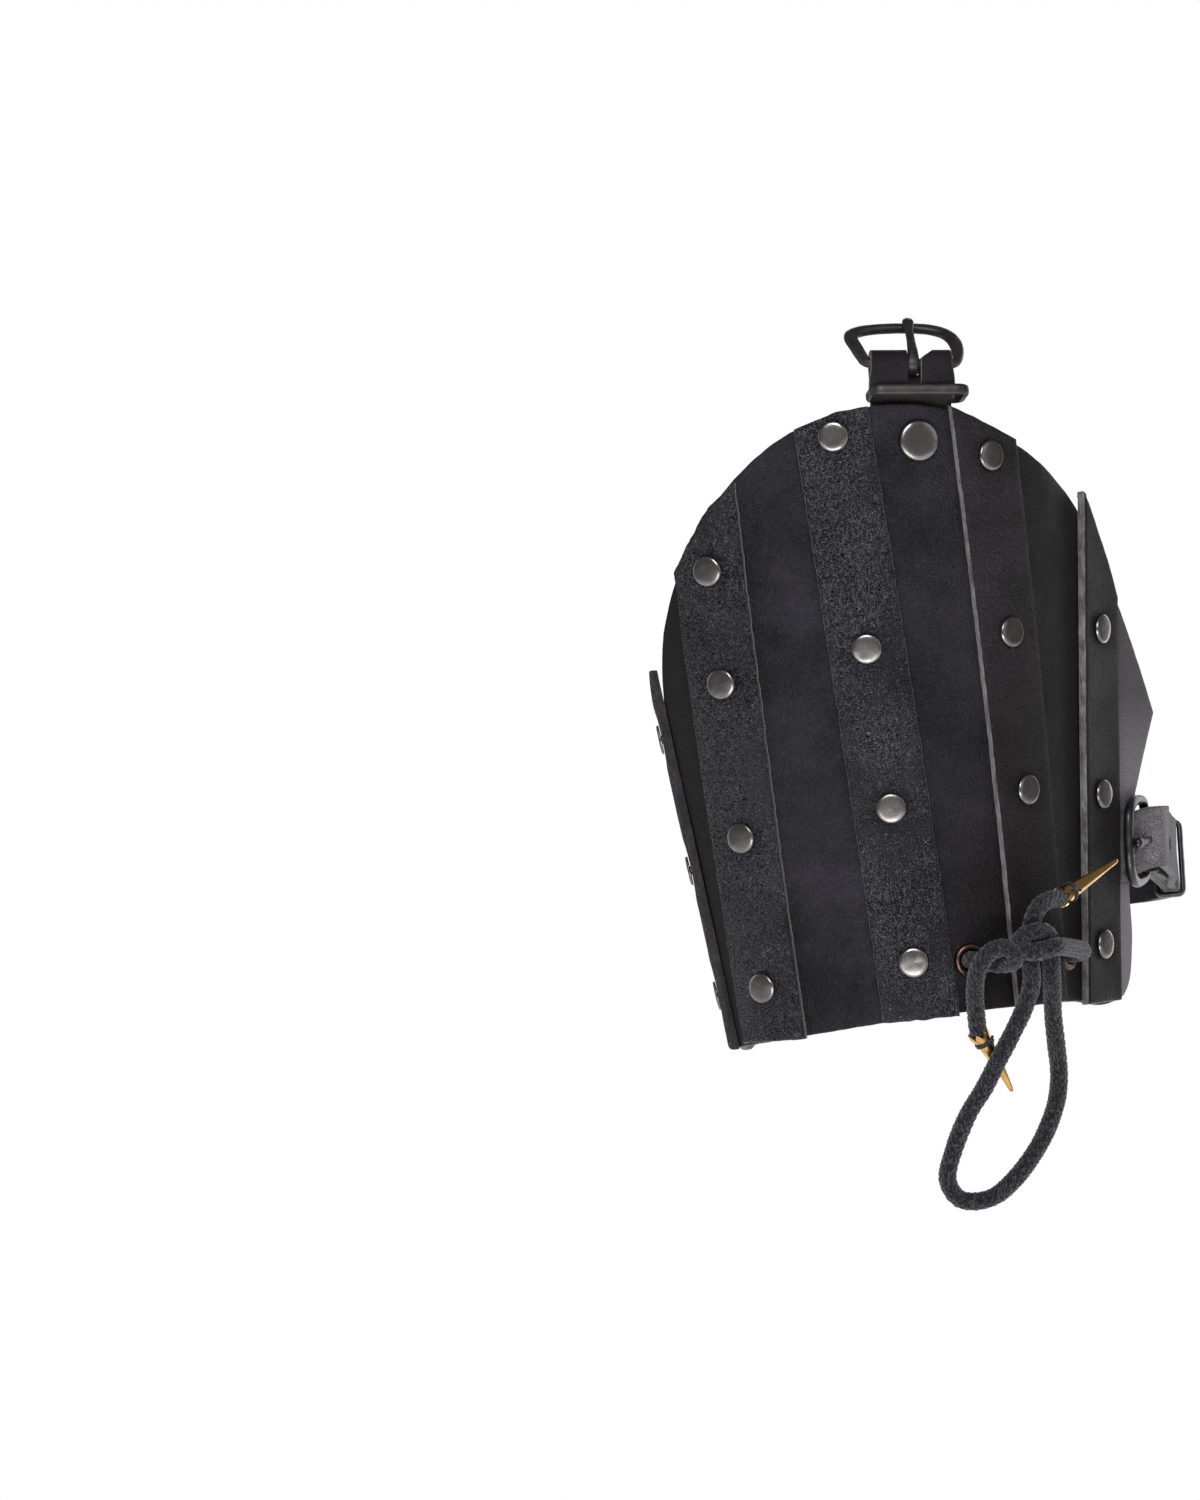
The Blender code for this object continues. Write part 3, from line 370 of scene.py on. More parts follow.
def cut_leather(name, node, rows, low, holes, materials, spacing, relief, ragged):
    """A sheet cut to its outline with round holes, given a rounded cut edge, relief, and the bend.

    relief(s, h, edge) is what the top stands proud there, edge being the distance to the outline.
    """
    outer = cut_line(rows, spacing)
    frayed = wander(outer, 3.1, 5) * ragged + wander(outer, 1.3, 9) * ragged * 0.6
    outer = outer + inward(outer) * frayed[:, None]
    loops, insets = [outer], [EDGE_INSET]
    for s, h, radius in holes:
        angle = np.linspace(0, -2 * np.pi, 24, endpoint=False)
        loops.append(np.stack([s + radius * np.cos(angle) / growth(h), h + radius * np.sin(angle)], -1))
        insets.append(HOLE_INSET)
    rims = [loop + inward(loop) * inset for loop, inset in zip(loops, insets)]

    # The flat face: the rims with a field of points between them, triangulated.
    (s_low, h_low), (s_high, h_high) = outer.min(0), outer.max(0)
    row_gap = spacing * math.sqrt(3) / 2
    field = []
    for r, h in enumerate(np.arange(h_low, h_high, row_gap)):
        s = np.arange(s_low + (r % 2) * spacing / 2, s_high, spacing)
        field.append(np.stack([s, np.full(len(s), h)], -1))
    field = np.concatenate(field)
    field = field[inside_loop(field, rims[0])]
    field = field[distance_to(field, rims[0]) > spacing * 0.55]
    for rim, (s, h, radius) in zip(rims[1:], holes):
        away = np.linalg.norm((field - (s, h)) * (growth(h), 1), axis=1)
        field = field[away > radius + HOLE_INSET + spacing * 0.45]
    flat = np.concatenate([*rims, field])
    edges, start = [], 0
    for rim in rims:
        edges += [(start + i, start + (i + 1) % len(rim)) for i in range(len(rim))]
        start += len(rim)
    places, _, triangles, origins, _, _ = delaunay_2d_cdt([Vector(p) for p in flat], edges, [], 1, 1e-5)
    named = [origin[0] if origin else -1 for origin in origins]
    extra = [i for i, n in enumerate(named) if n < 0]
    flat = np.concatenate([flat, np.array([places[i] for i in extra]).reshape(-1, 2)])
    for k, i in enumerate(extra):
        named[i] = len(flat) - len(extra) + k
    triangles = np.array([[named[i] for i in t] for t in triangles])
    centres = flat[triangles].mean(1)
    for s, h, radius in holes:
        keep = np.linalg.norm((centres - (s, h)) * (growth(h), 1), axis=1) > radius
        triangles, centres = triangles[keep], centres[keep]

    # Points as (s, h, share of the thickness): both faces, then the rings of each edge.
    count = len(flat)
    layers = [np.column_stack([flat, np.ones(count)]), np.column_stack([flat, np.zeros(count)])]
    faces = [*triangles, *(triangles[:, ::-1] + count)]
    slots = [GRAIN_SLOT] * len(triangles) + [FLESH_SLOT] * len(triangles)
    start, rim_start = 2 * count, 0
    for loop, inset, rim in zip(loops, insets, rims):
        n, into = len(loop), inward(loop)
        rings = [np.arange(n) + rim_start]
        scale = inset / EDGE_INSET
        for ring_inset, share in EDGE_RINGS:
            layers.append(np.column_stack([loop + into * ring_inset * scale, np.full(n, share)]))
            rings.append(np.arange(n) + start)
            start += n
        rings.append(np.arange(n) + rim_start + count)
        rim_start += n
        for k, (upper, lower) in enumerate(zip(rings, rings[1:])):
            quads = np.stack([upper, lower, np.roll(lower, -1), np.roll(upper, -1)], -1)
            faces += list(quads)
            slots += [GRAIN_SLOT if k < 2 else FLESH_SLOT if k == len(rings) - 2 else EDGE_SLOT] * n
    points = np.concatenate(layers)
    s, h, share = points.T
    proud = relief(s, h, distance_to(points[:, :2], outer))
    lift = low + share * LEATHER + proud * (0.25 + 0.75 * share)
    mesh_piece(name, bent(s, h, lift), faces, materials, slots, stands_for=(node,))


def dimples(s, h, rivets):
    """Where rivets pull the leather in: rows of (s, h, cap radius, depth, reach)."""
    total = np.zeros(len(s))
    for rivet_s, rivet_h, radius, depth, reach in rivets:
        away = np.hypot((s - rivet_s) * growth(h), h - rivet_h)
        total -= depth * np.exp(-((np.maximum(away - radius * 0.8, 0) / reach) ** 2))
    return total


# ------------------------------------------------------------------ materials


class Nodes:
    """A material's node tree, with short calls for the nodes used here."""

    def __init__(self, name):
        self.material = bpy.data.materials.new(name)
        self.material.use_nodes = True
        self.tree = self.material.node_tree
        self.shader = self.tree.nodes["Principled BSDF"]
        self.place = self.tree.nodes.new("ShaderNodeTexCoord").outputs["Object"]

    def put(self, value, socket):
        if isinstance(value, bpy.types.NodeSocket):
            self.tree.links.new(value, socket)
        elif socket.type == "RGBA":
            socket.default_value = (*value, 1)
        else:
            socket.default_value = value

    def fill(self, node, inputs):
        for name, value in inputs.items():
            self.put(value, node.inputs[name.replace("_", " ")])

    def set(self, **inputs):
        self.fill(self.shader, inputs)

    def node(self, kind, *by_place, settings=(), output=0, **inputs):
        """A node, with (index, value) pairs for the inputs that share a name."""
        made = self.tree.nodes.new("ShaderNode" + kind)
        for key, value in settings:
            setattr(made, key, value)
        for index, value in by_place:
            self.put(value, made.inputs[index])
        self.fill(made, inputs)
        return made.outputs[output]

    def stretched(self, scale, place=None):
        return self.node("Mapping", Vector=place or self.place, Scale=scale)

    def noise(self, scale, detail=3.0, rough=0.5, place=None, distortion=0.0):
        place = place or self.place
        return self.node(
            "TexNoise", Vector=place, Scale=scale, Detail=detail, Roughness=rough, Distortion=distortion
        )

    def cracks(self, scale, place):
        """The distance to the nearest border between cells."""
        return self.node("TexVoronoi", settings=[("feature", "DISTANCE_TO_EDGE")], Vector=place, Scale=scale)

    def ramp(self, value, low, high, to_low=0.0, to_high=1.0):
        return self.node("MapRange", Value=value, From_Min=low, From_Max=high, To_Min=to_low, To_Max=to_high)

    def math(self, operation, a, b):
        return self.node("Math", (0, a), (1, b), settings=[("operation", operation)])

    def total(self, *values):
        """The sum of values, each a socket or a (socket, share) pair."""
        terms = [self.times(*value) if isinstance(value, tuple) else value for value in values]
        whole = terms[0]
        for term in terms[1:]:
            whole = self.math("ADD", whole, term)
        return whole

    def times(self, a, b):
        return self.math("MULTIPLY", a, b)

    def mix(self, factor, a, b):
        return self.node("Mix", (6, a), (7, b), settings=[("data_type", "RGBA")], output=2, Factor=factor)

    def warped(self, scale, reach):
        """The object's coordinates, pushed about by noise."""
        push = self.node("TexNoise", output=1, Vector=self.place, Scale=scale, Detail=2.0)
        pushed = self.node("VectorMath", settings=[("operation", "SCALE")], Vector=push, Scale=reach)
        return self.node("VectorMath", (0, self.place), (1, pushed))

    def bump(self, height, strength, distance, **under):
        """A bump; Normal is the bump under it, where there is one."""
        return self.node("Bump", Height=height, Strength=strength, Distance=distance, **under)


def grain_leather(name, dark, light, rough, pebble, crease, specular, painted_shade_mask=None, painted_sheen_mask=None):
    """Dyed grain leather: pores, pebbles, and creases that run up the sheet and come and go.

    The first of the two optional masks gives where painted shade makes it brown-black, the second where a
    painted sheen makes it pale.
    """
    n = Nodes(name)
    warped = n.warped(240.0, 0.0008)
    patches = n.ramp(n.noise(30.0), 0.36, 0.56)
    pebbles = n.ramp(n.cracks(1100.0, warped), 0.0, 0.3)
    creases = n.ramp(n.cracks(760.0, n.stretched((1, 1, 0.5), warped)), 0.0, 0.16)
    pores = n.noise(900.0, 5.0, 0.75)
    shade = n.ramp(n.noise(45.0, 5.0, 0.65), 0.3, 0.7)
    open_creases = n.times(n.math("SUBTRACT", 1.0, creases), patches)
    pebble_rims = n.math("SUBTRACT", 1.0, pebbles)
    flecks = n.ramp(n.noise(420.0, 6.0, 0.8), 0.62, 0.72)
    # Crease lines and pebble borders are painted paler as a painted highlight for the glints on their edges;
    # the noise, pores and flecks are the leather's own mottle.
    mottle_and_painted_glints = n.total(
        (shade, 0.7), (pores, 0.6), (flecks, 0.25), (pebble_rims, pebble * 0.3), (open_creases, crease)
    )
    colour = n.mix(n.ramp(mottle_and_painted_glints, 0.42, 1.7), dark, light)
    # Painted shade: where the first mask is set, the colour is darkened brown-black.
    if painted_shade_mask:
        colour = n.mix(painted_shade_mask(n), colour, SHADOWED)
    # Painted sheen: where the second mask is set, the colour is painted pale.
    if painted_sheen_mask:
        colour = n.mix(painted_sheen_mask(n), colour, PAINTED_SHEEN_PALE)
    polish = n.ramp(n.noise(70.0, 4.0), 0.3, 0.7, rough - 0.08, rough + 0.06)
    n.set(Base_Color=colour, Specular_IOR_Level=specular, Roughness=n.total(polish, (pores, 0.08)))
    normal = n.bump(n.noise(120.0), 0.4, 0.0015)
    normal = n.bump(n.times(open_creases, -1.0), crease, 0.0011, Normal=normal)
    normal = n.bump(pebbles, pebble, 0.0006, Normal=normal)
    n.set(Normal=n.bump(pores, 0.4, 0.00016, Normal=normal))
    return n.material


def xyz(n):
    return [n.node("SeparateXYZ", (0, n.place), output=i) for i in range(3)]


def flank(n):
    """Painted sheen: right of the fifth splint the shell is painted pale, least near its top."""
    x, y, z = xyz(n)
    behind = n.times(n.ramp(x, 0.03, 0.04), n.ramp(y, -0.003, 0.001))
    return n.times(behind, n.ramp(z, 0.0, -0.03, 0.35, 1.0))


def shell_painted_shade(n):
    """Painted shade: between the last two splints, low behind the cord, and between the first two splints.
    """
    x, _, z = xyz(n)
    low = n.times(n.ramp(x, -0.022, 0.0), n.ramp(z, -0.01, -0.06))
    sides = n.math("MAXIMUM", n.ramp(x, 0.012, 0.028), n.ramp(x, -0.062, -0.07))
    return n.times(n.math("MAXIMUM", low, sides), 0.85)


def low_painted_shade(n):
    """Painted shade on the splints right of the middle, deepening towards their feet."""
    return n.ramp(xyz(n)[2], 0.02, -0.06, 0.0, 0.75)


def raw_edge(name, dark, light):
    """The cut edge: packed fibres, dyed thinly, with paler wear."""
    n = Nodes(name)
    fibres = n.noise(900.0, 4.0, 0.65, n.stretched((1, 1, 0.25)))
    wear = n.noise(150.0, 4.0, 0.7)
    n.set(Base_Color=n.mix(n.ramp(n.times(fibres, wear), 0.14, 0.38), dark, light))
    n.set(Roughness=0.85, Specular_IOR_Level=0.3, Sheen_Weight=0.25, Sheen_Roughness=0.5)
    normal = n.bump(fibres, 0.6, 0.0005)
    n.set(Normal=n.bump(n.noise(1500.0, 3.0, 0.6), 0.7, 0.0003, Normal=normal))
    return n.material


def suede(name, dark, light):
    """The flesh side: a short matt nap with brushed patches."""
    n = Nodes(name)
    nap = n.noise(1900.0, 4.0, 0.7)
    patches = n.noise(60.0, 5.0, 0.65, distortion=0.6)
    n.set(Base_Color=n.mix(n.ramp(n.total((nap, 0.35), patches), 0.45, 0.95), dark, light))
    n.set(Roughness=0.95, Specular_IOR_Level=0.2, Sheen_Weight=0.5, Sheen_Roughness=0.4)
    normal = n.bump(n.noise(300.0, 4.0), 0.4, 0.0006)
    n.set(Normal=n.bump(nap, 0.8, 0.0004, Normal=normal))
    return n.material


def metal(name, colour, second, rough, scratches=0.15, metallic=1.0, coat=0.0, dents=0.25):
    """Worn metal: cloudy tarnish, fine scratches and small dents."""
    n = Nodes(name)
    clouds = n.noise(210.0, 4.0, 0.6, distortion=0.8)
    lines = n.noise(900.0, 3.0, 0.7, n.stretched((1, 6, 0.5)))
    n.set(Base_Color=n.mix(n.ramp(clouds, 0.35, 0.66), colour, second), Metallic=metallic)
    n.set(Roughness=n.total(n.ramp(clouds, 0.3, 0.7, rough - 0.05, rough + 0.08), (lines, 0.08)))
    if coat:
        n.set(Coat_Weight=coat, Coat_Roughness=0.12)
    normal = n.bump(n.noise(260.0, 2.0), dents, 0.0003)
    n.set(Normal=n.bump(lines, scratches, 0.00004, Normal=normal))
    return n.material


def braid_cotton(name):
    """Dull black cotton with pale fibres."""
    n = Nodes(name)
    fibres = n.noise(2400.0, 4.0, 0.7)
    flecks = n.noise(1300.0, 3.0, 0.7, n.stretched((1, 1, 0.5)))
    pale = n.ramp(n.total(fibres, flecks), 0.96, 1.22)
    n.set(Base_Color=n.mix(pale, (0.003, 0.003, 0.0042), (0.06, 0.06, 0.074)))
    n.set(Roughness=0.92, Specular_IOR_Level=0.2, Sheen_Weight=0.35, Sheen_Roughness=0.45)
    n.set(Normal=n.bump(fibres, 0.7, 0.0003))
    return n.material


# The pale colour below is a painted sheen for the shell's right flank.
PAINTED_SHEEN_PALE = (0.18, 0.163, 0.184)
# The brown-black colour below is painted shade.
SHADOWED = (0.0035, 0.0024, 0.002)
# Each grain: its two colours, roughness, how pebbled, how creased, specular level
SHELL_GRAIN = grain_leather(
    "shell_grain", (0.004, 0.0037, 0.0056), (0.036, 0.033, 0.045), 0.6, 0.5, 0.15, 0.2, shell_painted_shade, flank
)
PEBBLED_GRAIN = grain_leather(
    "pebbled_grain", (0.0018, 0.0016, 0.0025), (0.047, 0.0445, 0.057), 0.39, 1.0, 1.0, 0.42
)
SMOOTH_GRAIN = grain_leather(
    "smooth_grain", (0.006, 0.0052, 0.0058), (0.034, 0.03, 0.034), 0.58, 0.6, 0.35, 0.2, low_painted_shade
)
STRAP_GRAIN = grain_leather(
    "strap_grain", (0.007, 0.0058, 0.0074), (0.034, 0.0295, 0.0355), 0.66, 0.4, 0.15, 0.1
)
# Painted highlight: the tongue strap is a pale copy of the strap leather, painted for the sheen it catches.
TONGUE_PAINTED_SHEEN_GRAIN = grain_leather("tongue_painted_sheen_grain", (0.055, 0.05, 0.055), (0.26, 0.238, 0.264), 0.5, 0.8, 0.3, 0.5)
DARK_EDGE = raw_edge("dark_edge", (0.007, 0.0062, 0.007), (0.034, 0.03, 0.033))
# Painted shade: the near-black cut edge of the second splint, whose right edge lies in a shadowed seam.
SHADOW_EDGE = raw_edge("painted_shadow_edge", (0.002, 0.0018, 0.002), (0.009, 0.008, 0.009))
PALE_EDGE = raw_edge("pale_edge", (0.05, 0.046, 0.049), (0.21, 0.194, 0.205))
STRAP_EDGE = raw_edge("strap_edge", (0.003, 0.0027, 0.003), (0.014, 0.0128, 0.014))
# Painted highlight: the tongue's cut edge is painted pale like its grain.
TONGUE_PAINTED_SHEEN_EDGE = raw_edge("tongue_painted_sheen_edge", (0.03, 0.027, 0.03), (0.11, 0.1, 0.11))
FLESH = suede("flesh_side", (0.012, 0.0102, 0.01), (0.05, 0.043, 0.042))
NICKEL = metal("aged_nickel", (0.26, 0.248, 0.244), (0.14, 0.129, 0.124), 0.2, scratches=0.04, dents=0.08)
WORN_BLACK = metal(
    "worn_black_metal", (0.03, 0.028, 0.032), (0.05, 0.044, 0.043), 0.36, scratches=0.3, metallic=0.6
)
GLOSS_BLACK = metal(
    "gloss_black_metal",
    (0.004, 0.004, 0.005), (0.008, 0.008, 0.009),
    0.3,
    scratches=0.1,
    metallic=0.0,
    coat=0.12,
)
COPPER = metal("antiqued_copper", (0.16, 0.095, 0.082), (0.08, 0.046, 0.042), 0.26)
BRASS = metal("brass", (0.7, 0.45, 0.16), (0.5, 0.29, 0.1), 0.18)
COTTON = braid_cotton("cord_cotton")
THREAD = braid_cotton("binding_thread")


# ------------------------------------------------------------------ shell and splints

HEADS = {name: [(splint_s(name, h), h) for h in row[4]] for name, row in SPLINTS.items()}
ALL_RIVETS = [(s, h, RIVET_CAP) for places in HEADS.values() for s, h in places]
LARGE_RIVETS = [(TOP_S, TOP_RIVET_H, LARGE_CAP), (BACK_RIVET_S, BACK_RIVET_H, LARGE_CAP)]


def shell_relief(s, h, edge):
    places = np.column_stack([s, h])
    proud = dimples(s, h, [(*LARGE_RIVETS[0], 0.35, 4.0)])
    proud += wander(places, 38.0, 1) * 0.28 + wander(places, 11.0, 2) * 0.05
    # The cut edge is pressed a little thinner.
    return proud - 0.22 * np.exp(-((edge / 1.6) ** 2))


def make_shell():
    holes = [(s, h, HOLE_R) for s, h, _ in [*ALL_RIVETS, *LARGE_RIVETS]]
    holes.append((TONGUE_RIVET_S, SIDE_H, HOLE_R))
    holes += [(s, h, EYELET_HOLE_R) for s, h in EYELETS.values()]
    looks = [SHELL_GRAIN, DARK_EDGE, FLESH]
    cut_leather("shell", "base_shell", SHELL_OUTLINE, -LEATHER, holes, looks, 1.7, shell_relief, 0.12)


SPLINT_LOOKS = {
    # name: grain, cut edge, how ragged, how far its long edges curl up, seed
    "splint_1": (PEBBLED_GRAIN, DARK_EDGE, 0.2, 0.25, 11),
    # Its cut edge is painted near black, as painted shade.
    "splint_2": (PEBBLED_GRAIN, SHADOW_EDGE, 0.24, 0.4, 12),
    "splint_3": (PEBBLED_GRAIN, DARK_EDGE, 0.24, 0.25, 13),
    "splint_4": (SMOOTH_GRAIN, PALE_EDGE, 0.14, 0.3, 14),
    "splint_5": (SMOOTH_GRAIN, PALE_EDGE, 0.12, 0.3, 15),
}


def make_splint(name):
    grain, cut_edge, ragged, curl, seed = SPLINT_LOOKS[name]
    rivets = [(s, h, RIVET_CAP, 0.8, 3.6) for s, h in HEADS[name]]

    def relief(s, h, edge):
        places = np.column_stack([s, h])
        proud = dimples(s, h, rivets)
        proud += 0.18 + wander(places, 24.0, seed) * 0.22 + wander(places, 6.0, seed + 30) * 0.07
        lifted = 0.5 + 0.5 * wander(places, 30.0, seed + 60)
        proud += curl * lifted * np.exp(-((edge / 3.5) ** 2))
        return proud - 0.3 * np.exp(-((edge / 0.8) ** 2))

    holes = [(s, h, HOLE_R) for s, h in HEADS[name]]
    looks = [grain, cut_edge, FLESH]
    cut_leather(name + "_leather", name, splint_outline(name), 0.15, holes, looks, 1.05, relief, ragged)


make_shell()
for splint in SPLINTS:
    make_splint(splint)


# ------------------------------------------------------------------ rivets and eyelets

CAP_SHAPE = (
    # share of the radius, share of the height
    (0.0, 1.0), (0.3, 0.99), (0.55, 0.965), (0.74, 0.92), (0.86, 0.84), (0.93, 0.7), (0.975, 0.46),
    (1.0, 0.14), (0.99, -0.06), (0.93, -0.2), (0.7, -0.22), (0.3, -0.22),
)
BURR_SHAPE = (
    # share of the burr's radius, height over the bottom
    (0.96, 0.1), (1.0, -0.2), (0.9, -0.6), (0.55, -0.8), (0.4, -0.5), (0.0, -0.45),
)
SHANK_R = 1.4
SPLINT_TOP = 2.85  # the lift at which the splints' rivet caps sit
INSIDE = -LEATHER - 0.1  # the lift at which the burrs start
CAP_HEIGHTS = {"splint_1": 0.7, "splint_2": 1.15, "splint_3": 1.15, "splint_4": 1.15, "splint_5": 1.15}
OTHER_RIVETS = (
    # name, s, h, top, bottom, cap radius, cap height, burr radius, seed
    ("top_rivet", TOP_S, TOP_RIVET_H, 0.1, -LEATHER - STRAP - 1.2, LARGE_CAP, 1.5, 4.5, 31),
    ("back_rivet", BACK_RIVET_S, BACK_RIVET_H, STRAP + 0.35, INSIDE, LARGE_CAP, 1.5, 4.5, 32),
    ("tongue_rivet", TONGUE_RIVET_S, SIDE_H, STRAP + 0.35, INSIDE, SMALL_CAP, 1.1, 3.4, 33),
)


def make_rivet(name, s, h, top, bottom, cap, height, burr, seed):
    """A cap that sits a little askew, its shank, and the burr on the inside."""
    axes = axes_on(s, h)
    askew = ((3.7, 1.3, 3), (5.1, 7.7, 4))
    lean = [wander(np.array([[seed * a, b]]), 1.0, k)[0] * 0.06 for a, b, k in askew]
    tilted = axes_from(axes[:, 0] + axes[:, 2] * lean[0], axes[:, 2] + axes[:, 1] * lean[1])
    head = [(max(r * cap, 0.001), top + z * height) for r, z in CAP_SHAPE]
    cap_points, cap_faces = turned(head, bent(s, h), tilted, 48)
    dents = wander(cap_points, 2.6, seed) * 0.05
    cap_points = cap_points + tilted[:, 2] * dents[:, None]
    base = [(SHANK_R, top), (SHANK_R, bottom), *((max(r * burr, 0.001), bottom + z) for r, z in BURR_SHAPE)]
    shank = turned(base, bent(s, h), axes, 28)
    points, faces = joined([(cap_points, cap_faces), shank])
    mesh_piece(name + "_cap", points, faces, [NICKEL], stands_for=(name,), sharp=50)


def make_rivets():
    seed = 1
    for name, places in HEADS.items():
        for i, (s, h) in enumerate(places, 1):
            number = f"rivet_{name[-1]}_{i}"
            make_rivet(number, s, h, SPLINT_TOP, INSIDE, RIVET_CAP, CAP_HEIGHTS[name], 3.4, seed)
            seed += 1
    for row in OTHER_RIVETS:
        make_rivet(*row)


EYELET_RING = (
    # radius, lift: the rolled lip, the barrel and the inside washer, from the bore round
    (2.8, -3.0), (2.8, 0.2), (3.1, 0.85), (3.6, 1.2), (4.2, 1.25), (4.75, 1.0), (5.05, 0.6), (5.1, 0.25),
    (4.9, 0.1), (3.6, 0.1), (3.6, -2.7), (4.7, -2.7), (4.85, -2.95), (4.7, -3.2), (3.2, -3.25),
    (2.8, -3.0),
)


def make_eyelets():
    for name, (s, h) in EYELETS.items():
        points, faces = turned(EYELET_RING, bent(s, h), axes_on(s, h), 48)
        points = points + wander(points, 2.2, 41)[:, None] * 0.06
        mesh_piece(name + "_ring", points, faces, [COPPER], stands_for=(name,), sharp=50)


make_rivets()
make_eyelets()


# ------------------------------------------------------------------ straps

STRAP_HALF, FOLD_HALF = 12.5, 12.2
SIDE_HALF, SIDE_FOLD_HALF = 10.2, 9.4
GAP = 0.3
WIRE_R = 1.45
FOLD_R = WIRE_R + GAP + STRAP / 2
FRAME_LENGTH = 20.0
STRAP_RIM = 0.45  # how far the cut edges are rounded
RIM_ANGLES = np.radians([22, 45, 68])
ACROSS = 13  # points over a strap's width, on each of its faces
SECTION_SLOTS = [GRAIN_SLOT] * 12 + [EDGE_SLOT] * 7 + [FLESH_SLOT] * 12 + [EDGE_SLOT] * 7
STRAP_LOOKS = (STRAP_GRAIN, STRAP_EDGE, FLESH)
STRAP_SHARP = 40


def strap_section(half, crown):
    """The strap's outline across, anticlockwise seen from its far end."""
    rim = min(STRAP_RIM, half * 0.4)
    across = np.linspace(-(half - rim), half - rim, ACROSS)
    arched = crown * (across / half) ** 2
    top = np.column_stack([across, STRAP / 2 + arched])
    low = np.column_stack([across, -STRAP / 2 + arched])[::-1]
    inner, sine, cosine = half - rim, rim * np.sin(RIM_ANGLES), rim * np.cos(RIM_ANGLES)
    right_top = np.column_stack([inner + sine, STRAP / 2 + crown - rim + cosine])
    right_low = np.column_stack([inner + cosine, -STRAP / 2 + crown + rim - sine])
    left_low, left_top = (side[::-1] * (-1, 1) for side in (right_low, right_top))
    return np.concatenate([top, right_top, right_low, low, left_low, left_top])


def row_of(middle, half, out, width, crown=0.0):
    return [*middle, *(half * width), *out, crown]


def strap_piece(name, rows, looks, node, size, seed, unevenness):
    """A strap through rows of (middle, half vector, out vector, crown), wavering a little."""
    points = []
    for row in np.asarray(rows):
        middle, half, out, crown = row[:3], row[3:6], row[6:9], row[9]
        width = np.linalg.norm(half)
        out = unit(out - half * (out @ half) / width**2)
        outline = strap_section(width, crown)
        points.append(middle + np.outer(outline[:, 0], half / width) + np.outer(outline[:, 1], out))
    points = np.concatenate(points)
    points = points + np.outer(wander(points, size, seed), unevenness)
    faces = [face[::-1] for face in tube_faces(len(rows), len(SECTION_SLOTS))]
    slots = [*SECTION_SLOTS * (len(rows) - 1), EDGE_SLOT, EDGE_SLOT]
    return mesh_piece(name, points, faces, looks, slots, stands_for=(node,), sharp=STRAP_SHARP)


def cutter_piece(name, points, faces):
    """A closed solid whose faces point outwards and leave a cut edge behind."""
    mesh = raw_mesh(name, points, faces, STRAP_LOOKS)
    solid = bmesh.new()
    solid.from_mesh(mesh)
    bmesh.ops.remove_doubles(solid, verts=solid.verts, dist=1e-6)
    bmesh.ops.recalc_face_normals(solid, faces=solid.faces)
    solid.to_mesh(mesh)
    solid.free()
    mesh.polygons.foreach_set("material_index", np.full(len(mesh.polygons), EDGE_SLOT, np.int32))
    return linked(name, mesh)


def cut_out(piece, cutters):
    """Takes the cutters out of the piece and leaves neither them nor a modifier behind."""
    for cutter in cutters:
        modifier = piece.modifiers.new(cutter.name, "BOOLEAN")
        modifier.object = cutter
        modifier.solver = "EXACT"
    bpy.context.view_layer.update()
    graph = bpy.context.evaluated_depsgraph_get()
    mesh = bpy.data.meshes.new_from_object(piece.evaluated_get(graph))
    piece.modifiers.clear()
    piece.data = mesh
    mesh.shade_smooth()
    mesh.set_sharp_from_angle(angle=math.radians(STRAP_SHARP))
    for cutter in cutters:
        bpy.data.objects.remove(cutter)


def rod(name, origin, axes, radius, reach):
    """A closed round cutter along the z axis of axes."""
    profile = ((0.001, reach), (radius, reach), (radius, -reach), (0.001, -reach))
    points, faces = turned(profile, origin, axes, 24)
    return cutter_piece(name, points, faces[:, ::-1])


TOP_BAR_H, TOP_BAR_LIFT = 192.6, -0.7
TOP_HEADING, TOP_TILT, TOP_LEAN = -6.0, 4.5, 52.0
TOP_KEEPER_H = 184.3
# The slot in the fold for the prong: open in front as far down as it swings, behind as far as its hook
SLOT_LEFT, SLOT_RIGHT, SLOT_LOW, SLOT_BACK_LOW = -1.65, 2.55, -7.4, -3.12
SLOT_REACH = 8.0
SLOT_ABOVE = (SLOT_BACK_LOW + 0.05, -1.0, 1.0, 2.0, 4.0, 6.0)
SLOT_LEVELS = (SLOT_LOW, -6.8, -5.8, -4.6, -3.8, SLOT_BACK_LOW, *SLOT_ABOVE)
STRAP_DROPS = (
    # below the hinge bar, in towards the shell, wider than the fold
    (2.0, 0.2, 0.2), (4.5, 0.5, 0.6), (7.0, 0.9, 0.7), (9.3, 1.3, 0.7),
)


def top_place():
    """Directions along the top hinge bar, up and out to the front, and the bar's middle."""
    heading, tilt = math.radians(TOP_HEADING), math.radians(TOP_TILT)
    level = np.array([math.cos(heading), math.sin(heading), 0])
    out = np.cross(level, (0, 0, 1))
    along = level * math.cos(tilt) - np.array([0, 0, math.sin(tilt)])
    return along, np.cross(out, along), out, bent(TOP_S, TOP_BAR_H, TOP_BAR_LIFT)


def prong_slot(axes, bar):
    rings = []
    for z in SLOT_LEVELS:
        share = min(1.0, math.sqrt(max(0.0, (z - SLOT_LOW) / 2.5)) + 0.25)
        notch = 1.5 * max(0.0, z - 1.6)
        left, right = SLOT_LEFT * share, SLOT_RIGHT * share + notch
        back = 0.0 if z <= SLOT_BACK_LOW else SLOT_REACH
        rings += [(left, -SLOT_REACH, z), (right, -SLOT_REACH, z), (right, back, z), (left, back, z)]
    faces = [face[::-1] for face in tube_faces(len(SLOT_LEVELS), 4)]
    return cutter_piece("top_slot", np.array(rings) @ axes.T + bar, faces)


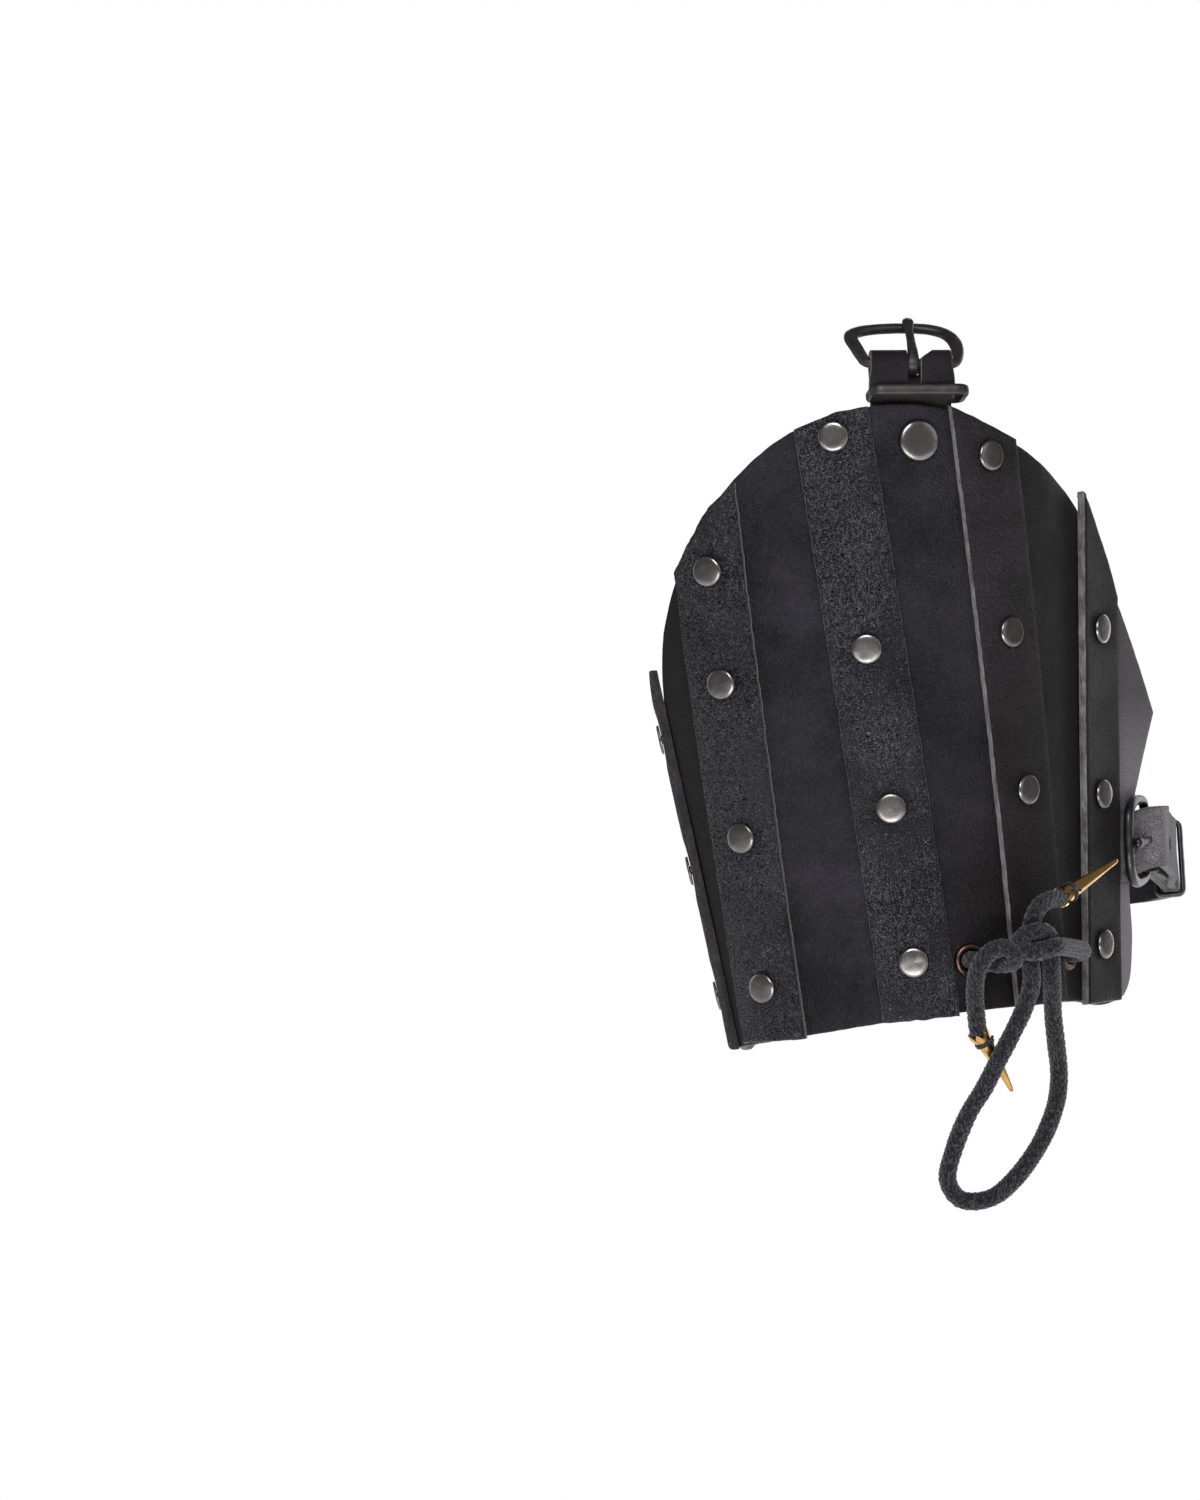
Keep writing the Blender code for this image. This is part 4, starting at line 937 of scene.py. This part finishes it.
def make_top_strap():
    """Up inside the shell, forwards over the hinge bar, and down behind the keeper."""
    along, up, out, bar = top_place()
    inside = -LEATHER - GAP - STRAP / 2 - 0.3
    chord = unit(bent(TOP_S + STRAP_HALF, TOP_RIVET_H) - bent(TOP_S - STRAP_HALF, TOP_RIVET_H))
    rows = []
    for h in (157.0, 158.5, 164.0, 170.0, 176.0):
        middle = bent(TOP_S, h, inside - 0.2)
        sides = (bent(TOP_S + STRAP_HALF, h, inside) + bent(TOP_S - STRAP_HALF, h, inside)) / 2
        away = np.cross(chord, up_at(TOP_S, h))
        rows.append(row_of(middle, chord, away, STRAP_HALF, float((sides - middle) @ away)))
    turning = chord * STRAP_HALF + along * FOLD_HALF
    rows.append(row_of(bent(TOP_S, 182.0, inside + 0.1), turning, out, 0.5, -0.5))
    rows.append(row_of(bar - out * (FOLD_R - 0.3) - up * 6.5, along, out, FOLD_HALF))
    back = even_path(rows, 1.0)
    # Behind, its grain side faces into the guard; over the bar it comes to the front.
    back[:, 3:] *= -1
    rows = []
    for angle in range(0, 181, 10):
        a = math.radians(angle)
        around = -out * math.cos(a) + up * math.sin(a)
        rows.append(row_of(bar + around * FOLD_R - along * 0.4, -along, around, FOLD_HALF))
    for drop, inwards, wider in STRAP_DROPS:
        middle = bar + out * (FOLD_R - inwards) - up * drop - along * 0.3
        rows.append(row_of(middle, -along, out, FOLD_HALF + wider))
    path = np.concatenate([back[:-1], even_path(rows, 0.8)])
    strap = strap_piece("top_strap_leather", path, STRAP_LOOKS, "top_strap", 14.0, 51, out * 0.12)
    hole = rod("top_hole", bent(TOP_S, TOP_RIVET_H, inside), axes_on(TOP_S, TOP_RIVET_H), HOLE_R, 5.0)
    cut_out(strap, [prong_slot(axes_from(along, up), bar), hole])


SIDE_BAR_S, SIDE_BAR_LIFT, SIDE_HINGE_LIFT = 80.2, 5.3, 3.6
SIDE_HEADING = 53.0
TONGUE_START_S = 80.2
BACK_STRAP = (
    # x, y, z of its middle, from the hinge bar round the back to the left flank
    (82.0, 34.1, -49.0), (90.8, 52.1, -52.5), (95.7, 66.3, -55.0), (93.0, 82.0, -56.5),
    (78.0, 93.0, -57.0), (50.0, 94.5, -57.0), (20.0, 90.5, -57.0), (-8.0, 83.0, -56.5),
    (-36.0, 69.0, -55.5),
)
BACK_STRAP_ON_FLANK = ((-155.5, 1.6), (-149.0, 0.5), (-140.0, 0.1), (-131.6, 0.0))
FOLD_LAP, FOLD_WIDENS_U = 33.0, 8.0
SIDE_KEEPER_U = 50.0
TONGUE_END_U = 90.0
TONGUE_HOLES_U = (17.5, 34.0, 66.0)
TONGUE_HALF, TONGUE_HOLE_R = 9.5, 2.2
LAYER = (STRAP + GAP) / 2


def side_hinge():
    heading = math.radians(SIDE_HEADING)
    back = unit(np.array([math.cos(heading), math.sin(heading), 0.05]))
    out = unit(np.cross(back, up_at(SIDE_BAR_S, SIDE_H)))
    outer_bar = bent(SIDE_BAR_S, SIDE_H, SIDE_BAR_LIFT)
    drop = SIDE_BAR_LIFT - SIDE_HINGE_LIFT
    hinge = outer_bar + back * math.sqrt(FRAME_LENGTH**2 - drop**2) - out * drop
    return hinge, outer_bar, back, out


def back_line():
    """Rows of u, middle, forward, out and half vector along the strap's line."""
    hinge = side_hinge()[0]
    on_flank = [bent(s, BACK_RIVET_H, GAP + STRAP / 2 + off) for s, off in BACK_STRAP_ON_FLANK]
    points = even_path(np.array([hinge, *BACK_STRAP, *on_flank]), 1.5)
    u = arc_lengths(points)
    total = u[-1]
    forward = unit(np.gradient(points, axis=0))
    right_share = np.clip(1 - u / 60.0, 0, 1)[:, None]
    left_share = np.clip((u - total + 70.0) / 45.0, 0, 1)[:, None]
    up = np.array([0, 0, 1.0]) * (1 - right_share) + up_at(SIDE_BAR_S, SIDE_H) * right_share
    up = up * (1 - left_share) + up_at(BACK_RIVET_S, BACK_RIVET_H) * left_share
    out = unit(np.cross(forward, up))
    return np.column_stack([u, points, forward, out, unit(np.cross(out, forward))])


LINE = back_line()
LINE_END = LINE[-1, 0]


def on_line(u):
    row = np.array([np.interp(u, LINE[:, 0], LINE[:, k]) for k in range(1, 13)])
    return row[:3], unit(row[3:6]), unit(row[6:9]), unit(row[9:12])


def spread(u):
    t = min(max(u, 0) / 9.0, 1.0)
    return FOLD_R + (LAYER - FOLD_R) * (3 * t * t - 2 * t**3)


def make_back_strap():
    """Its end is folded over the side hinge bar; the rest runs round to the left flank."""
    hinge, _, back, out = side_hinge()
    rows = []
    for u in np.arange(FOLD_LAP, 0, -1.5):
        middle, _, away, half = on_line(u)
        width = SIDE_FOLD_HALF if u < FOLD_WIDENS_U else SIDE_HALF - 0.2
        rows.append(row_of(middle + away * spread(u), -half, away, width))
    half = unit(np.cross(out, back))
    for angle in range(90, 271, 12):
        a = math.radians(angle)
        around = back * math.cos(a) + out * math.sin(a)
        rows.append(row_of(hinge + around * FOLD_R, -half, around, SIDE_FOLD_HALF))
    for u in np.arange(1.5, TONGUE_END_U + 4, 2.0):
        middle, _, away, half = on_line(u)
        width = SIDE_FOLD_HALF if u < FOLD_WIDENS_U else SIDE_HALF
        rows.append(row_of(middle - away * spread(u), -half, -away, width))
    for u in np.arange(TONGUE_END_U + 5, LINE_END + 0.1, 2.0):
        middle, _, away, half = on_line(u)
        ease = max(0.0, 1 - (u - TONGUE_END_U) / (LINE_END - TONGUE_END_U - 35.0))
        width = SIDE_HALF * (1 - 0.1 * max(0.0, (u - LINE_END + 3.0) / 3.0))
        rows.append(row_of(middle - away * LAYER * ease, -half, -away, width))
    strap_piece("back_strap_leather", rows, STRAP_LOOKS, "back_strap", 22.0, 61, (0, 0, 0.25))


def make_tongue():
    """From the right flank, up through the side frame, over the hinge bar and under the keeper."""
    hinge, _, back, out = side_hinge()
    lift = GAP + STRAP / 2
    over = FOLD_R + STRAP + GAP
    rows = []
    for s in (TONGUE_START_S, 82.5, 85.0):
        axes = axes_on(s, SIDE_H)
        rows.append(row_of(bent(s, SIDE_H, lift), up_at(s, SIDE_H), axes[:, 2], SIDE_HALF))
    half = unit(np.cross(out, back))
    climb = (
        # middle, how far the leather leans back, half width
        (bent(88.0, SIDE_H + 0.9, lift + 1.2), 0.6, (SIDE_HALF + TONGUE_HALF) / 2),
        (hinge - back * 5.6 + out * (over - 2.2) + half * 1.8, 0.5, TONGUE_HALF),
        (hinge - back * 2.6 + out * (over + 0.3) + half * 1.9, 0.35, TONGUE_HALF),
    )
    rows += [row_of(middle, half, out - back * lean, width) for middle, lean, width in climb]
    for u in (0.5, 3.5, 7.0, 13.0, 20.0, 27.0, 33.0):
        middle, _, away, half = on_line(u)
        ease = 0.5 + 0.5 * math.cos(math.pi * u / 40)
        ride = away * (spread(u) + STRAP + GAP + 0.2 + 0.3 * ease) + half * 1.9 * ease
        rows.append(row_of(middle + ride, half, away, TONGUE_HALF))
    for u in (42.0, 50.0, 58.0, 66.0, 74.0, 80.0):
        middle, _, away, half = on_line(u)
        rows.append(row_of(middle + away * (LAYER + 0.2), half, away, SIDE_HALF))
    path = even_path(rows, 1.2)
    tip = []
    for u in np.linspace(81.0, TONGUE_END_U, 14):
        middle, _, away, half = on_line(u)
        share = max(0.12, 1 - ((u - 80.0) / (TONGUE_END_U + 0.1 - 80.0)) ** 2.3) ** 0.5
        tip.append(row_of(middle + away * (LAYER + 0.2), half, away, SIDE_HALF * share))
    # The tongue's pale leather is a painted sheen.
    looks = [TONGUE_PAINTED_SHEEN_GRAIN, TONGUE_PAINTED_SHEEN_EDGE, FLESH]
    tongue = strap_piece("tongue_leather", [*path, *tip], looks, "tongue_strap", 16.0, 62, (0, 0, 0.2))
    cutters = []
    for i, u in enumerate(TONGUE_HOLES_U):
        middle, forward, away, _ = on_line(u)
        cutters.append(rod(f"hole_{i}", middle + away * 3, axes_from(forward, away), TONGUE_HOLE_R, 5.0))
    rivet_place = bent(TONGUE_RIVET_S, SIDE_H, lift)
    cutters.append(rod("hole_rivet", rivet_place, axes_on(TONGUE_RIVET_S, SIDE_H), HOLE_R, 5.0))
    cut_out(tongue, cutters)


make_top_strap()
make_back_strap()
make_tongue()


# ------------------------------------------------------------------ buckles and keepers


def ring_wire(path, halves, axes, origin, seed, closed=True, sides=20, square=2.0):
    """A wire along a path in the xy plane of axes.

    halves are its half width in that plane and half thickness across it; square 2 makes it round.
    """
    side, up = carried_frames(path, (0, 0, 1), closed)
    angle = np.linspace(0, 2 * np.pi, sides, endpoint=False)
    round_x, round_y = (np.sign(w) * np.abs(w) ** (2 / square) for w in (np.cos(angle), np.sin(angle)))
    halves = np.broadcast_to(np.asarray(halves, float), (len(path), 2))
    points = (
        path[:, None]
        + side[:, None] * (halves[:, 0, None] * round_x)[..., None]
        + up[:, None] * (halves[:, 1, None] * round_y)[..., None]
    ).reshape(-1, 3)
    points = points + unit(points - np.repeat(path, sides, 0)) * (wander(points, 3.0, seed) * 0.06)[:, None]
    faces = grid_faces(len(path), sides, True, True) if closed else tube_faces(len(path), sides)
    return points @ axes.T + origin, faces


def closed_path(rows, spacing):
    """A smooth closed curve through the rows, at even steps."""
    given = np.array(rows, float)
    fine = []
    for a, b, c, d in zip(*(np.roll(given, shift, 0) for shift in (1, 0, -1, -2))):
        fine.extend(catmull(a, b, c, d, t) for t in np.linspace(0, 1, 16, endpoint=False))
    return evened(np.array([*fine, fine[0]]), spacing, 2)[:-1]


TOP_FRAME = (
    # x along the hinge bar, y away from it, half width in its plane, half thickness
    (-8.0, 0.0, 1.45, 1.45), (0.0, 0.0, 1.45, 1.45), (8.0, 0.0, 1.45, 1.45), (12.2, 0.1, 1.5, 1.45),
    (14.0, 2.2, 1.65, 1.5), (14.9, 7.0, 1.9, 1.55), (14.8, 11.5, 2.0, 1.55), (13.5, 15.6, 1.95, 1.55),
    (10.6, 18.5, 1.85, 1.5), (5.0, 20.2, 1.65, 1.5), (-3.0, 20.4, 1.6, 1.5), (-9.5, 19.7, 1.65, 1.5),
    (-13.2, 18.6, 1.8, 1.5), (-15.9, 16.8, 2.0, 1.5), (-16.4, 14.2, 2.05, 1.5), (-15.5, 9.6, 1.95, 1.5),
    (-14.5, 4.8, 1.85, 1.45), (-13.2, 1.0, 1.6, 1.45),
)
SIDE_FRAME_HALF = (
    # one half of the side frame, in the same columns
    (0.0, 0.0, 1.45, 1.45), (6.0, 0.0, 1.45, 1.45), (10.2, 0.2, 1.45, 1.45), (12.0, 2.4, 1.5, 1.45),
    (12.7, 7.5, 1.65, 1.45), (12.6, 12.5, 1.75, 1.5), (11.1, 16.8, 1.85, 1.5), (8.0, 19.4, 1.9, 1.5),
    (4.0, 20.2, 1.8, 1.5), (0.0, 20.3, 1.75, 1.5),
)
SIDE_FRAME = (*SIDE_FRAME_HALF, *((-x, y, wide, thick) for x, y, wide, thick in SIDE_FRAME_HALF[-2:0:-1]))
PRONG_R = 1.15
PRONG_REST = WIRE_R + GAP + PRONG_R
HOOK = (
    # angle round the bar, radius to the hook's middle, half thickness: thinnest inside the fold
    (-58, PRONG_REST, 1.0), (-80, PRONG_REST, 1.0), (-105, 2.7, 0.9), (-130, 2.4, 0.8), (-155, 2.3, 0.75),
    (-180, 2.3, 0.75), (-205, 2.3, 0.75), (-240, 2.35, 0.7),
)
PRONG = (
    # y, z, half width, half thickness, from the hook's end round the bar to the knob's end
    *((r * math.cos(math.radians(a)), r * math.sin(math.radians(a)), 1.85, thick) for a, r, thick in HOOK),
    (1.6, 2.86, 1.6, 1.1), (4.0, 2.9, 1.5, 1.15), (8.0, 2.9, 1.3, 1.15), (12.5, 2.9, 1.25, 1.15),
    (15.5, 2.9, 1.4, 1.15), (17.0, 2.9, 1.65, 1.2), (18.6, 2.9, 1.75, 1.3), (20.0, 2.7, 1.65, 1.2),
    (20.7, 2.5, 1.2, 0.9), (20.9, 2.4, 0.5, 0.4),
)


def frame_and_prong(prefix, rows, origin, axes, look, bodies, lean):
    """A frame through its rows and its prong; lean is the prong's x at the hinge bar and at its tip."""
    path = closed_path(rows, 0.8)
    flat = np.column_stack([path[:, :2], np.zeros(len(path))])
    slope = (lean[1] - lean[0]) / FRAME_LENGTH
    bent_rows = even_path([(lean[0] + slope * row[0], *row) for row in PRONG], 0.5)
    frame_made = ring_wire(flat, path[:, 2:], axes, origin, 71, square=2.3)
    prong_made = ring_wire(bent_rows[:, :3], bent_rows[:, 3:], axes, origin, 72, closed=False, square=2.3)
    for part, made, body in (("_frame", frame_made, bodies[0]), ("_prong", prong_made, bodies[1])):
        node = prefix + part
        mesh_piece(node + "_metal", *made, [look], body=body, stands_for=(node,), sharp=60)


def rounded_rectangle(half_x, half_y, radius):
    corners = ((half_x, -half_y, -90), (half_x, half_y, 0), (-half_x, half_y, 90), (-half_x, -half_y, 180))
    points = []
    for x, y, start in corners:
        centre = np.array([x - math.copysign(radius, x), y - math.copysign(radius, y)])
        for a in np.radians(np.linspace(start, start + 90, 9)):
            points.append(centre + radius * np.array([math.cos(a), math.sin(a)]))
    flat = evened(np.array([*points, points[0]]), 0.6, 2)[:-1]
    return np.column_stack([flat, np.zeros(len(flat))])


KEEPER_TALL = 3.3
KEEPERS = {
    # half its length and half its depth to the bar's middle, corner radius, the bar's thickness
    "top_keeper": (14.1, 5.9, 2.6, 1.9),
    "side_keeper": (11.75, 4.2, 1.8, 1.8),
}


def keeper(node, origin, axes, look):
    """A loop of rounded bar."""
    *form, thick = KEEPERS[node]
    path = rounded_rectangle(*form)
    points, faces = ring_wire(path, (thick / 2, KEEPER_TALL / 2), axes, origin, 73, square=2.5)
    mesh_piece(node + "_metal", points, faces, [look], stands_for=(node,), sharp=60)


TOP_KEEPER_RIGHT, TOP_KEEPER_DROP, TOP_KEEPER_IN, TOP_KEEPER_TILT = 1.9, 0.45, 1.65, 0.12
SIDE_FRAME_SHIFT = 1.0


def make_top_buckle():
    along, up, out, bar = top_place()
    lean = math.radians(TOP_LEAN)
    face = out * math.cos(lean) + up * math.sin(lean)
    reach = up * math.cos(lean) - out * math.sin(lean)
    axes = axes_from(np.cross(reach, face), face)
    frame_and_prong("top", TOP_FRAME, bar, axes, WORN_BLACK, ("top_frame", "top_prong"), (0.3, 1.3))
    centre = bar + up * (TOP_KEEPER_H - TOP_BAR_H) + along * TOP_KEEPER_RIGHT
    centre = centre - up * TOP_KEEPER_DROP - out * TOP_KEEPER_IN
    # Its back sits lower than its front, clear of the frame when that is swung right back.
    tilted = axes_from(along, unit(up - out * TOP_KEEPER_TILT))
    keeper("top_keeper", centre, tilted, WORN_BLACK)


def make_side_buckle():
    hinge, outer_bar, _, out = side_hinge()
    reach = unit(outer_bar - hinge)
    face = unit(out - reach * (out @ reach))
    axes = axes_from(np.cross(reach, face), face)
    origin = hinge + axes[:, 0] * SIDE_FRAME_SHIFT
    frame_and_prong("side", SIDE_FRAME, origin, axes, GLOSS_BLACK, ("guard", "guard"), (0.0, 0.0))
    middle, forward, away, half = on_line(SIDE_KEEPER_U)
    keeper("side_keeper", middle + away * 0.2, axes_from(half, forward), GLOSS_BLACK)


make_top_buckle()
make_side_buckle()


# ------------------------------------------------------------------ the cord

CORD_D = 5.2
BRAID_STRANDS = 8  # in each direction
BRAID_PITCH = 2.45
BRAID_SUNK, BRAID_RELIEF = 0.28, 0.5  # the core's depth under the cord's radius, the strands' height
CORD_AROUND = 48  # points round it
CORD_NODES = (
    "cord_loop",
    "cord_knot",
    "cord_end_1",
    "cord_end_2",
    "cord_stub_1",
    "cord_stub_2",
    "cord_inside",
)
AGLETS = {
    # name: middle of the mouth, tip
    "aglet_1": ((-4.4, -46.4, -100.0), (6.0, -40.6, -118.6)),
    "aglet_2": ((26.6, -42.4, -62.0), (49.7, -27.8, -52.4)),
}
END_2_ROUTE = (
    (26.6, -42.4, -62.0), (25.0, -44.0, -62.2), (21.2, -47.5, -62.4), (17.2, -50.4, -64.0),
    (14.3, -51.8, -67.8), (12.9, -52.0, -73.0),
)
LOOP_ROUTE = (
    (12.4, -51.9, -79.0), (12.2, -51.4, -86.5), (9.6, -50.6, -93.5), (5.1, -50.2, -101.0),
    (0.4, -49.0, -108.5), (-4.3, -47.0, -116.5), (-9.6, -44.4, -124.4), (-14.0, -41.4, -134.3),
    (-16.2, -39.4, -142.6), (-13.6, -38.9, -148.6), (-8.4, -39.8, -150.4), (-1.6, -41.0, -148.9),
    (6.1, -41.4, -142.9), (13.9, -40.3, -134.1), (19.6, -38.8, -124.2), (21.6, -38.8, -115.3),
    (20.8, -41.7, -106.1), (19.8, -44.9, -96.9), (19.3, -48.2, -89.3), (18.9, -51.2, -81.5),
)
WRAP_ROUTE = (
    (18.8, -52.8, -76.4), (17.8, -54.2, -72.6), (14.2, -55.8, -71.3), (10.2, -55.8, -72.2),
    (8.2, -55.6, -74.8), (10.0, -57.2, -77.0), (15.0, -58.2, -77.0), (20.0, -57.0, -76.4),
)
END_1_ROUTE = (
    (6.4, -54.4, -79.6), (6.2, -56.2, -76.8), (2.6, -56.4, -75.2), (-1.6, -54.8, -76.8),
    (-4.5, -52.6, -81.6), (-5.3, -50.4, -87.5), (-5.0, -48.4, -93.5), (-4.5, -46.7, -98.4),
    (-4.2, -46.3, -100.4),
)


def cord_route():
    """From aglet_2 into the loop, round the knot, through both eyelets and back to aglet_1."""
    (s1, h1), (s2, h2) = EYELETS["eyelet_1"], EYELETS["eyelet_2"]
    through = (
        # s, h, lift
        (s2 - 10.0, h2 + 1.4, 8.8),
        (s2 - 5.0, h2 + 0.8, 7.2),
        (s2 - 1.6, h2 + 0.4, 5.4),
        (s2 - 0.2, h2 + 0.1, 2.2),
        (s2, h2, -1.4),
        (s2 - 0.6, h2, -5.0),
        (s2 - 3.2, h2, -8.0),
        (36.5, 12.9, -10.8),
        (21.0, 13.2, -12.5),
        (5.0, 13.5, -10.4),
        (s1 + 1.8, h1, -8.2),
        (s1, h1, -5.1),
        (s1, h1, -2.6),
        (s1, h1, 0.5),
        (s1 + 0.9, h1 - 0.4, 3.2),
        (s1 + 4.2, h1 - 1.2, 5.0),
        (s1 + 8.0, h1 - 2.0, 6.0),
    )
    return (*END_2_ROUTE, *LOOP_ROUTE, *WRAP_ROUTE, *(tuple(bent(*row)) for row in through), *END_1_ROUTE)


def braided(path, around):
    """A tube round the path whose two families of strands pass over and under each other."""
    side, up = carried_frames(path, (0, -1, 0))
    reach = arc_lengths(path)
    turned_by = np.linspace(0, 2 * np.pi, around, endpoint=False)[None, :]
    place = reach[:, None]
    first = np.cos((BRAID_STRANDS * turned_by + 2 * np.pi * place / BRAID_PITCH) / 2)
    second = np.cos((BRAID_STRANDS * turned_by - 2 * np.pi * place / BRAID_PITCH) / 2)
    over = first * second / (np.abs(first * second) + 0.12)
    strands = first**2 * (0.5 + 0.5 * over) + second**2 * (0.5 - 0.5 * over)
    radius = CORD_D / 2 - BRAID_SUNK + BRAID_RELIEF * strands
    places = np.column_stack([np.repeat(reach, around), np.tile(turned_by[0] * CORD_D / 2, len(path))])
    radius = radius + (wander(places, 0.8, 81) * 0.09).reshape(radius.shape)
    radius = radius + (wander(np.column_stack([reach, reach * 0]), 7.0, 82) * 0.1)[:, None]
    out = np.cos(turned_by)[..., None] * side[:, None] + np.sin(turned_by)[..., None] * up[:, None]
    return (path[:, None] + out * radius[..., None]).reshape(-1, 3)


def make_cord():
    path = even_path(cord_route(), 0.45)
    faces = tube_faces(len(path), CORD_AROUND)
    return mesh_piece("cord", braided(path, CORD_AROUND), faces, [COTTON], stands_for=CORD_NODES), path


PETALS = 8
PETAL_REACH, PETAL_NOTCH = 1.1, 1.9
CROWN = 0.1  # share of the cone's length, down to the petals' feet
# Radius at the crown's foot and how far it flares to the rim, on the inside and on the outside
INNER_CROWN, OUTER_CROWN = (2.5, 0.32), (2.78, 0.38)
CONE_AROUND = 48  # points round it
THREAD_TURNS, THREAD_R = 2, 0.36
THREAD_START = 0.14  # share of the cone's length
AGLET_CONE = (
    # share of the length, radius
    (0.1, 2.75), (0.16, 2.42), (0.24, 2.3), (0.34, 2.08), (0.5, 1.68), (0.68, 1.28), (0.84, 0.96),
    (0.95, 0.76), (0.99, 0.62), (1.0, 0.34), (1.0, 0.001),
)


def make_aglet(name, bend, seed):
    """A cone of sheet brass with a petalled mouth, and the thread that binds it on."""
    mouth, tip = (np.array(p) for p in AGLETS[name])
    axis = unit(tip - mouth)
    length = np.linalg.norm(tip - mouth)
    axes = axes_from(np.cross(axis, (0.2, 0.3, 1.0)), axis)
    angle = np.linspace(0, 2 * np.pi, CONE_AROUND, endpoint=False)
    petal = 1 - np.abs((angle * PETALS / (2 * np.pi)) % 1 * 2 - 1)
    rim = PETAL_REACH - PETAL_NOTCH * petal**0.8
    crown = CROWN * length

    def ring(height, radius):
        return np.stack([radius * np.cos(angle), radius * np.sin(angle), height + 0 * angle], -1)

    def crown_ring(share, foot, flare):
        return ring(rim * (1 - share) + crown * share, foot + flare * (1 - share) ** 1.5)

    # Inside the crown out to the rim, then back down the outside and on to the tip
    rows = [crown_ring(share, *INNER_CROWN) for share in (1.0, 0.7, 0.35, 0.0)]
    rows += [crown_ring(share, *OUTER_CROWN) for share in (0.0, 0.35, 0.7)]
    rows += [ring(length * share, radius) for share, radius in AGLET_CONE]
    points = np.concatenate(rows)
    away = np.clip(points[:, 2] / length, 0, 1)
    points[:, 0] += bend * np.sin(away * np.pi)
    points = points + wander(points, 2.4, seed)[:, None] * (0.05, 0.05, 0)
    faces = grid_faces(len(rows), CONE_AROUND, wrap_columns=True)
    cone = mesh_piece(name + "_cone", points @ axes.T + mouth, faces, [BRASS], stands_for=(name,), sharp=45)

    sweep = np.linspace(0, 2 * np.pi * THREAD_TURNS, 40 * THREAD_TURNS)
    height = THREAD_START * length + sweep / (2 * np.pi) * THREAD_R * 1.7
    radius = np.interp(height / length, *np.array(AGLET_CONE, float).T) + THREAD_R * 0.7
    bow = bend * np.sin(height / length * np.pi)
    helix = np.stack([radius * np.cos(sweep) + bow, radius * np.sin(sweep), height], -1)
    first_tail = helix[0] + np.array([(0.7, -1.0, -0.6), (0.4, -0.6, -0.3), (0.1, -0.25, 0)])
    second_tail = helix[-1] + np.array([(0.1, 0.3, 0.1), (0.3, 0.7, 0.3), (0.4, 1.0, 0.6)])
    thread = even_path(np.concatenate([first_tail, helix, second_tail]), 0.25)
    points, faces = ring_wire(thread, (THREAD_R, THREAD_R), axes, mouth, seed + 5, closed=False, sides=8)
    return cone, mesh_piece(name + "_binding", points, faces, [THREAD])


def make_cord_and_aglets():
    cord, path = make_cord()
    fittings = [*make_aglet("aglet_1", 0.5, 91), *make_aglet("aglet_2", 0.0, 92)]


make_cord_and_aglets()


# ------------------------------------------------------------------ light and floor

AREA_LIGHTS = (
    # name, place, size, power in watts
    ("key", (-0.45, -1.8, 1.0), (0.9, 0.9), 24),
    ("low_front", (-0.28, -0.8, -0.5), (0.6, 0.35), 5),
    ("fill", (1.1, -1.3, 0.4), (0.8, 1.2), 2),
    ("rim_right", (1.25, 0.95, 0.0), (0.7, 1.6), 6),
    ("inside", (0.5, 1.7, 0.9), (1.0, 1.0), 14),
    ("rim_left", (-1.5, 0.5, 0.3), (0.8, 1.4), 3.5),
)
FLOOR_Z, FLOOR_REACH = -0.6, 2.5


def area_light(name, place, size, power):
    """A rectangle of light, turned towards the origin."""
    data = bpy.data.lights.new(name, "AREA")
    data.shape = "RECTANGLE"
    data.size, data.size_y = size
    data.energy = power
    light = linked(name, data)
    light.location = place
    light.rotation_euler = (-Vector(place)).to_track_quat("-Z", "Y").to_euler()


def make_stage():
    scene = bpy.context.scene
    scene.view_settings.view_transform = "Standard"
    scene.view_settings.look = "None"
    world = bpy.data.worlds.new("studio")
    scene.world = world
    world.use_nodes = True
    tree = world.node_tree
    tree.nodes.clear()
    seen = tree.nodes.new("ShaderNodeBackground")
    seen.inputs["Color"].default_value = (1, 1, 1, 1)
    lighting = tree.nodes.new("ShaderNodeBackground")
    lighting.inputs["Color"].default_value = (1.0, 0.985, 1.0, 1)
    lighting.inputs["Strength"].default_value = 0.17
    path = tree.nodes.new("ShaderNodeLightPath")
    mixed = tree.nodes.new("ShaderNodeMixShader")
    out = tree.nodes.new("ShaderNodeOutputWorld")
    tree.links.new(path.outputs["Is Camera Ray"], mixed.inputs["Fac"])
    tree.links.new(lighting.outputs[0], mixed.inputs[1])
    tree.links.new(seen.outputs[0], mixed.inputs[2])
    tree.links.new(mixed.outputs[0], out.inputs["Surface"])

    pale = bpy.data.materials.new("pale_floor")
    pale.use_nodes = True
    shader = pale.node_tree.nodes["Principled BSDF"]
    shader.inputs["Base Color"].default_value = (0.86, 0.86, 0.86, 1)
    shader.inputs["Roughness"].default_value = 0.9
    shader.inputs["Emission Color"].default_value = (1, 1, 1, 1)
    shader.inputs["Emission Strength"].default_value = 0.45
    corners = [(x * FLOOR_REACH, y * FLOOR_REACH, FLOOR_Z) for x, y in ((-1, -1), (1, -1), (1, 1), (-1, 1))]
    floor = linked("floor", raw_mesh("floor", np.array(corners) / MM, [(0, 1, 2, 3)], [pale]))
    for row in AREA_LIGHTS:
        area_light(*row)


make_stage()
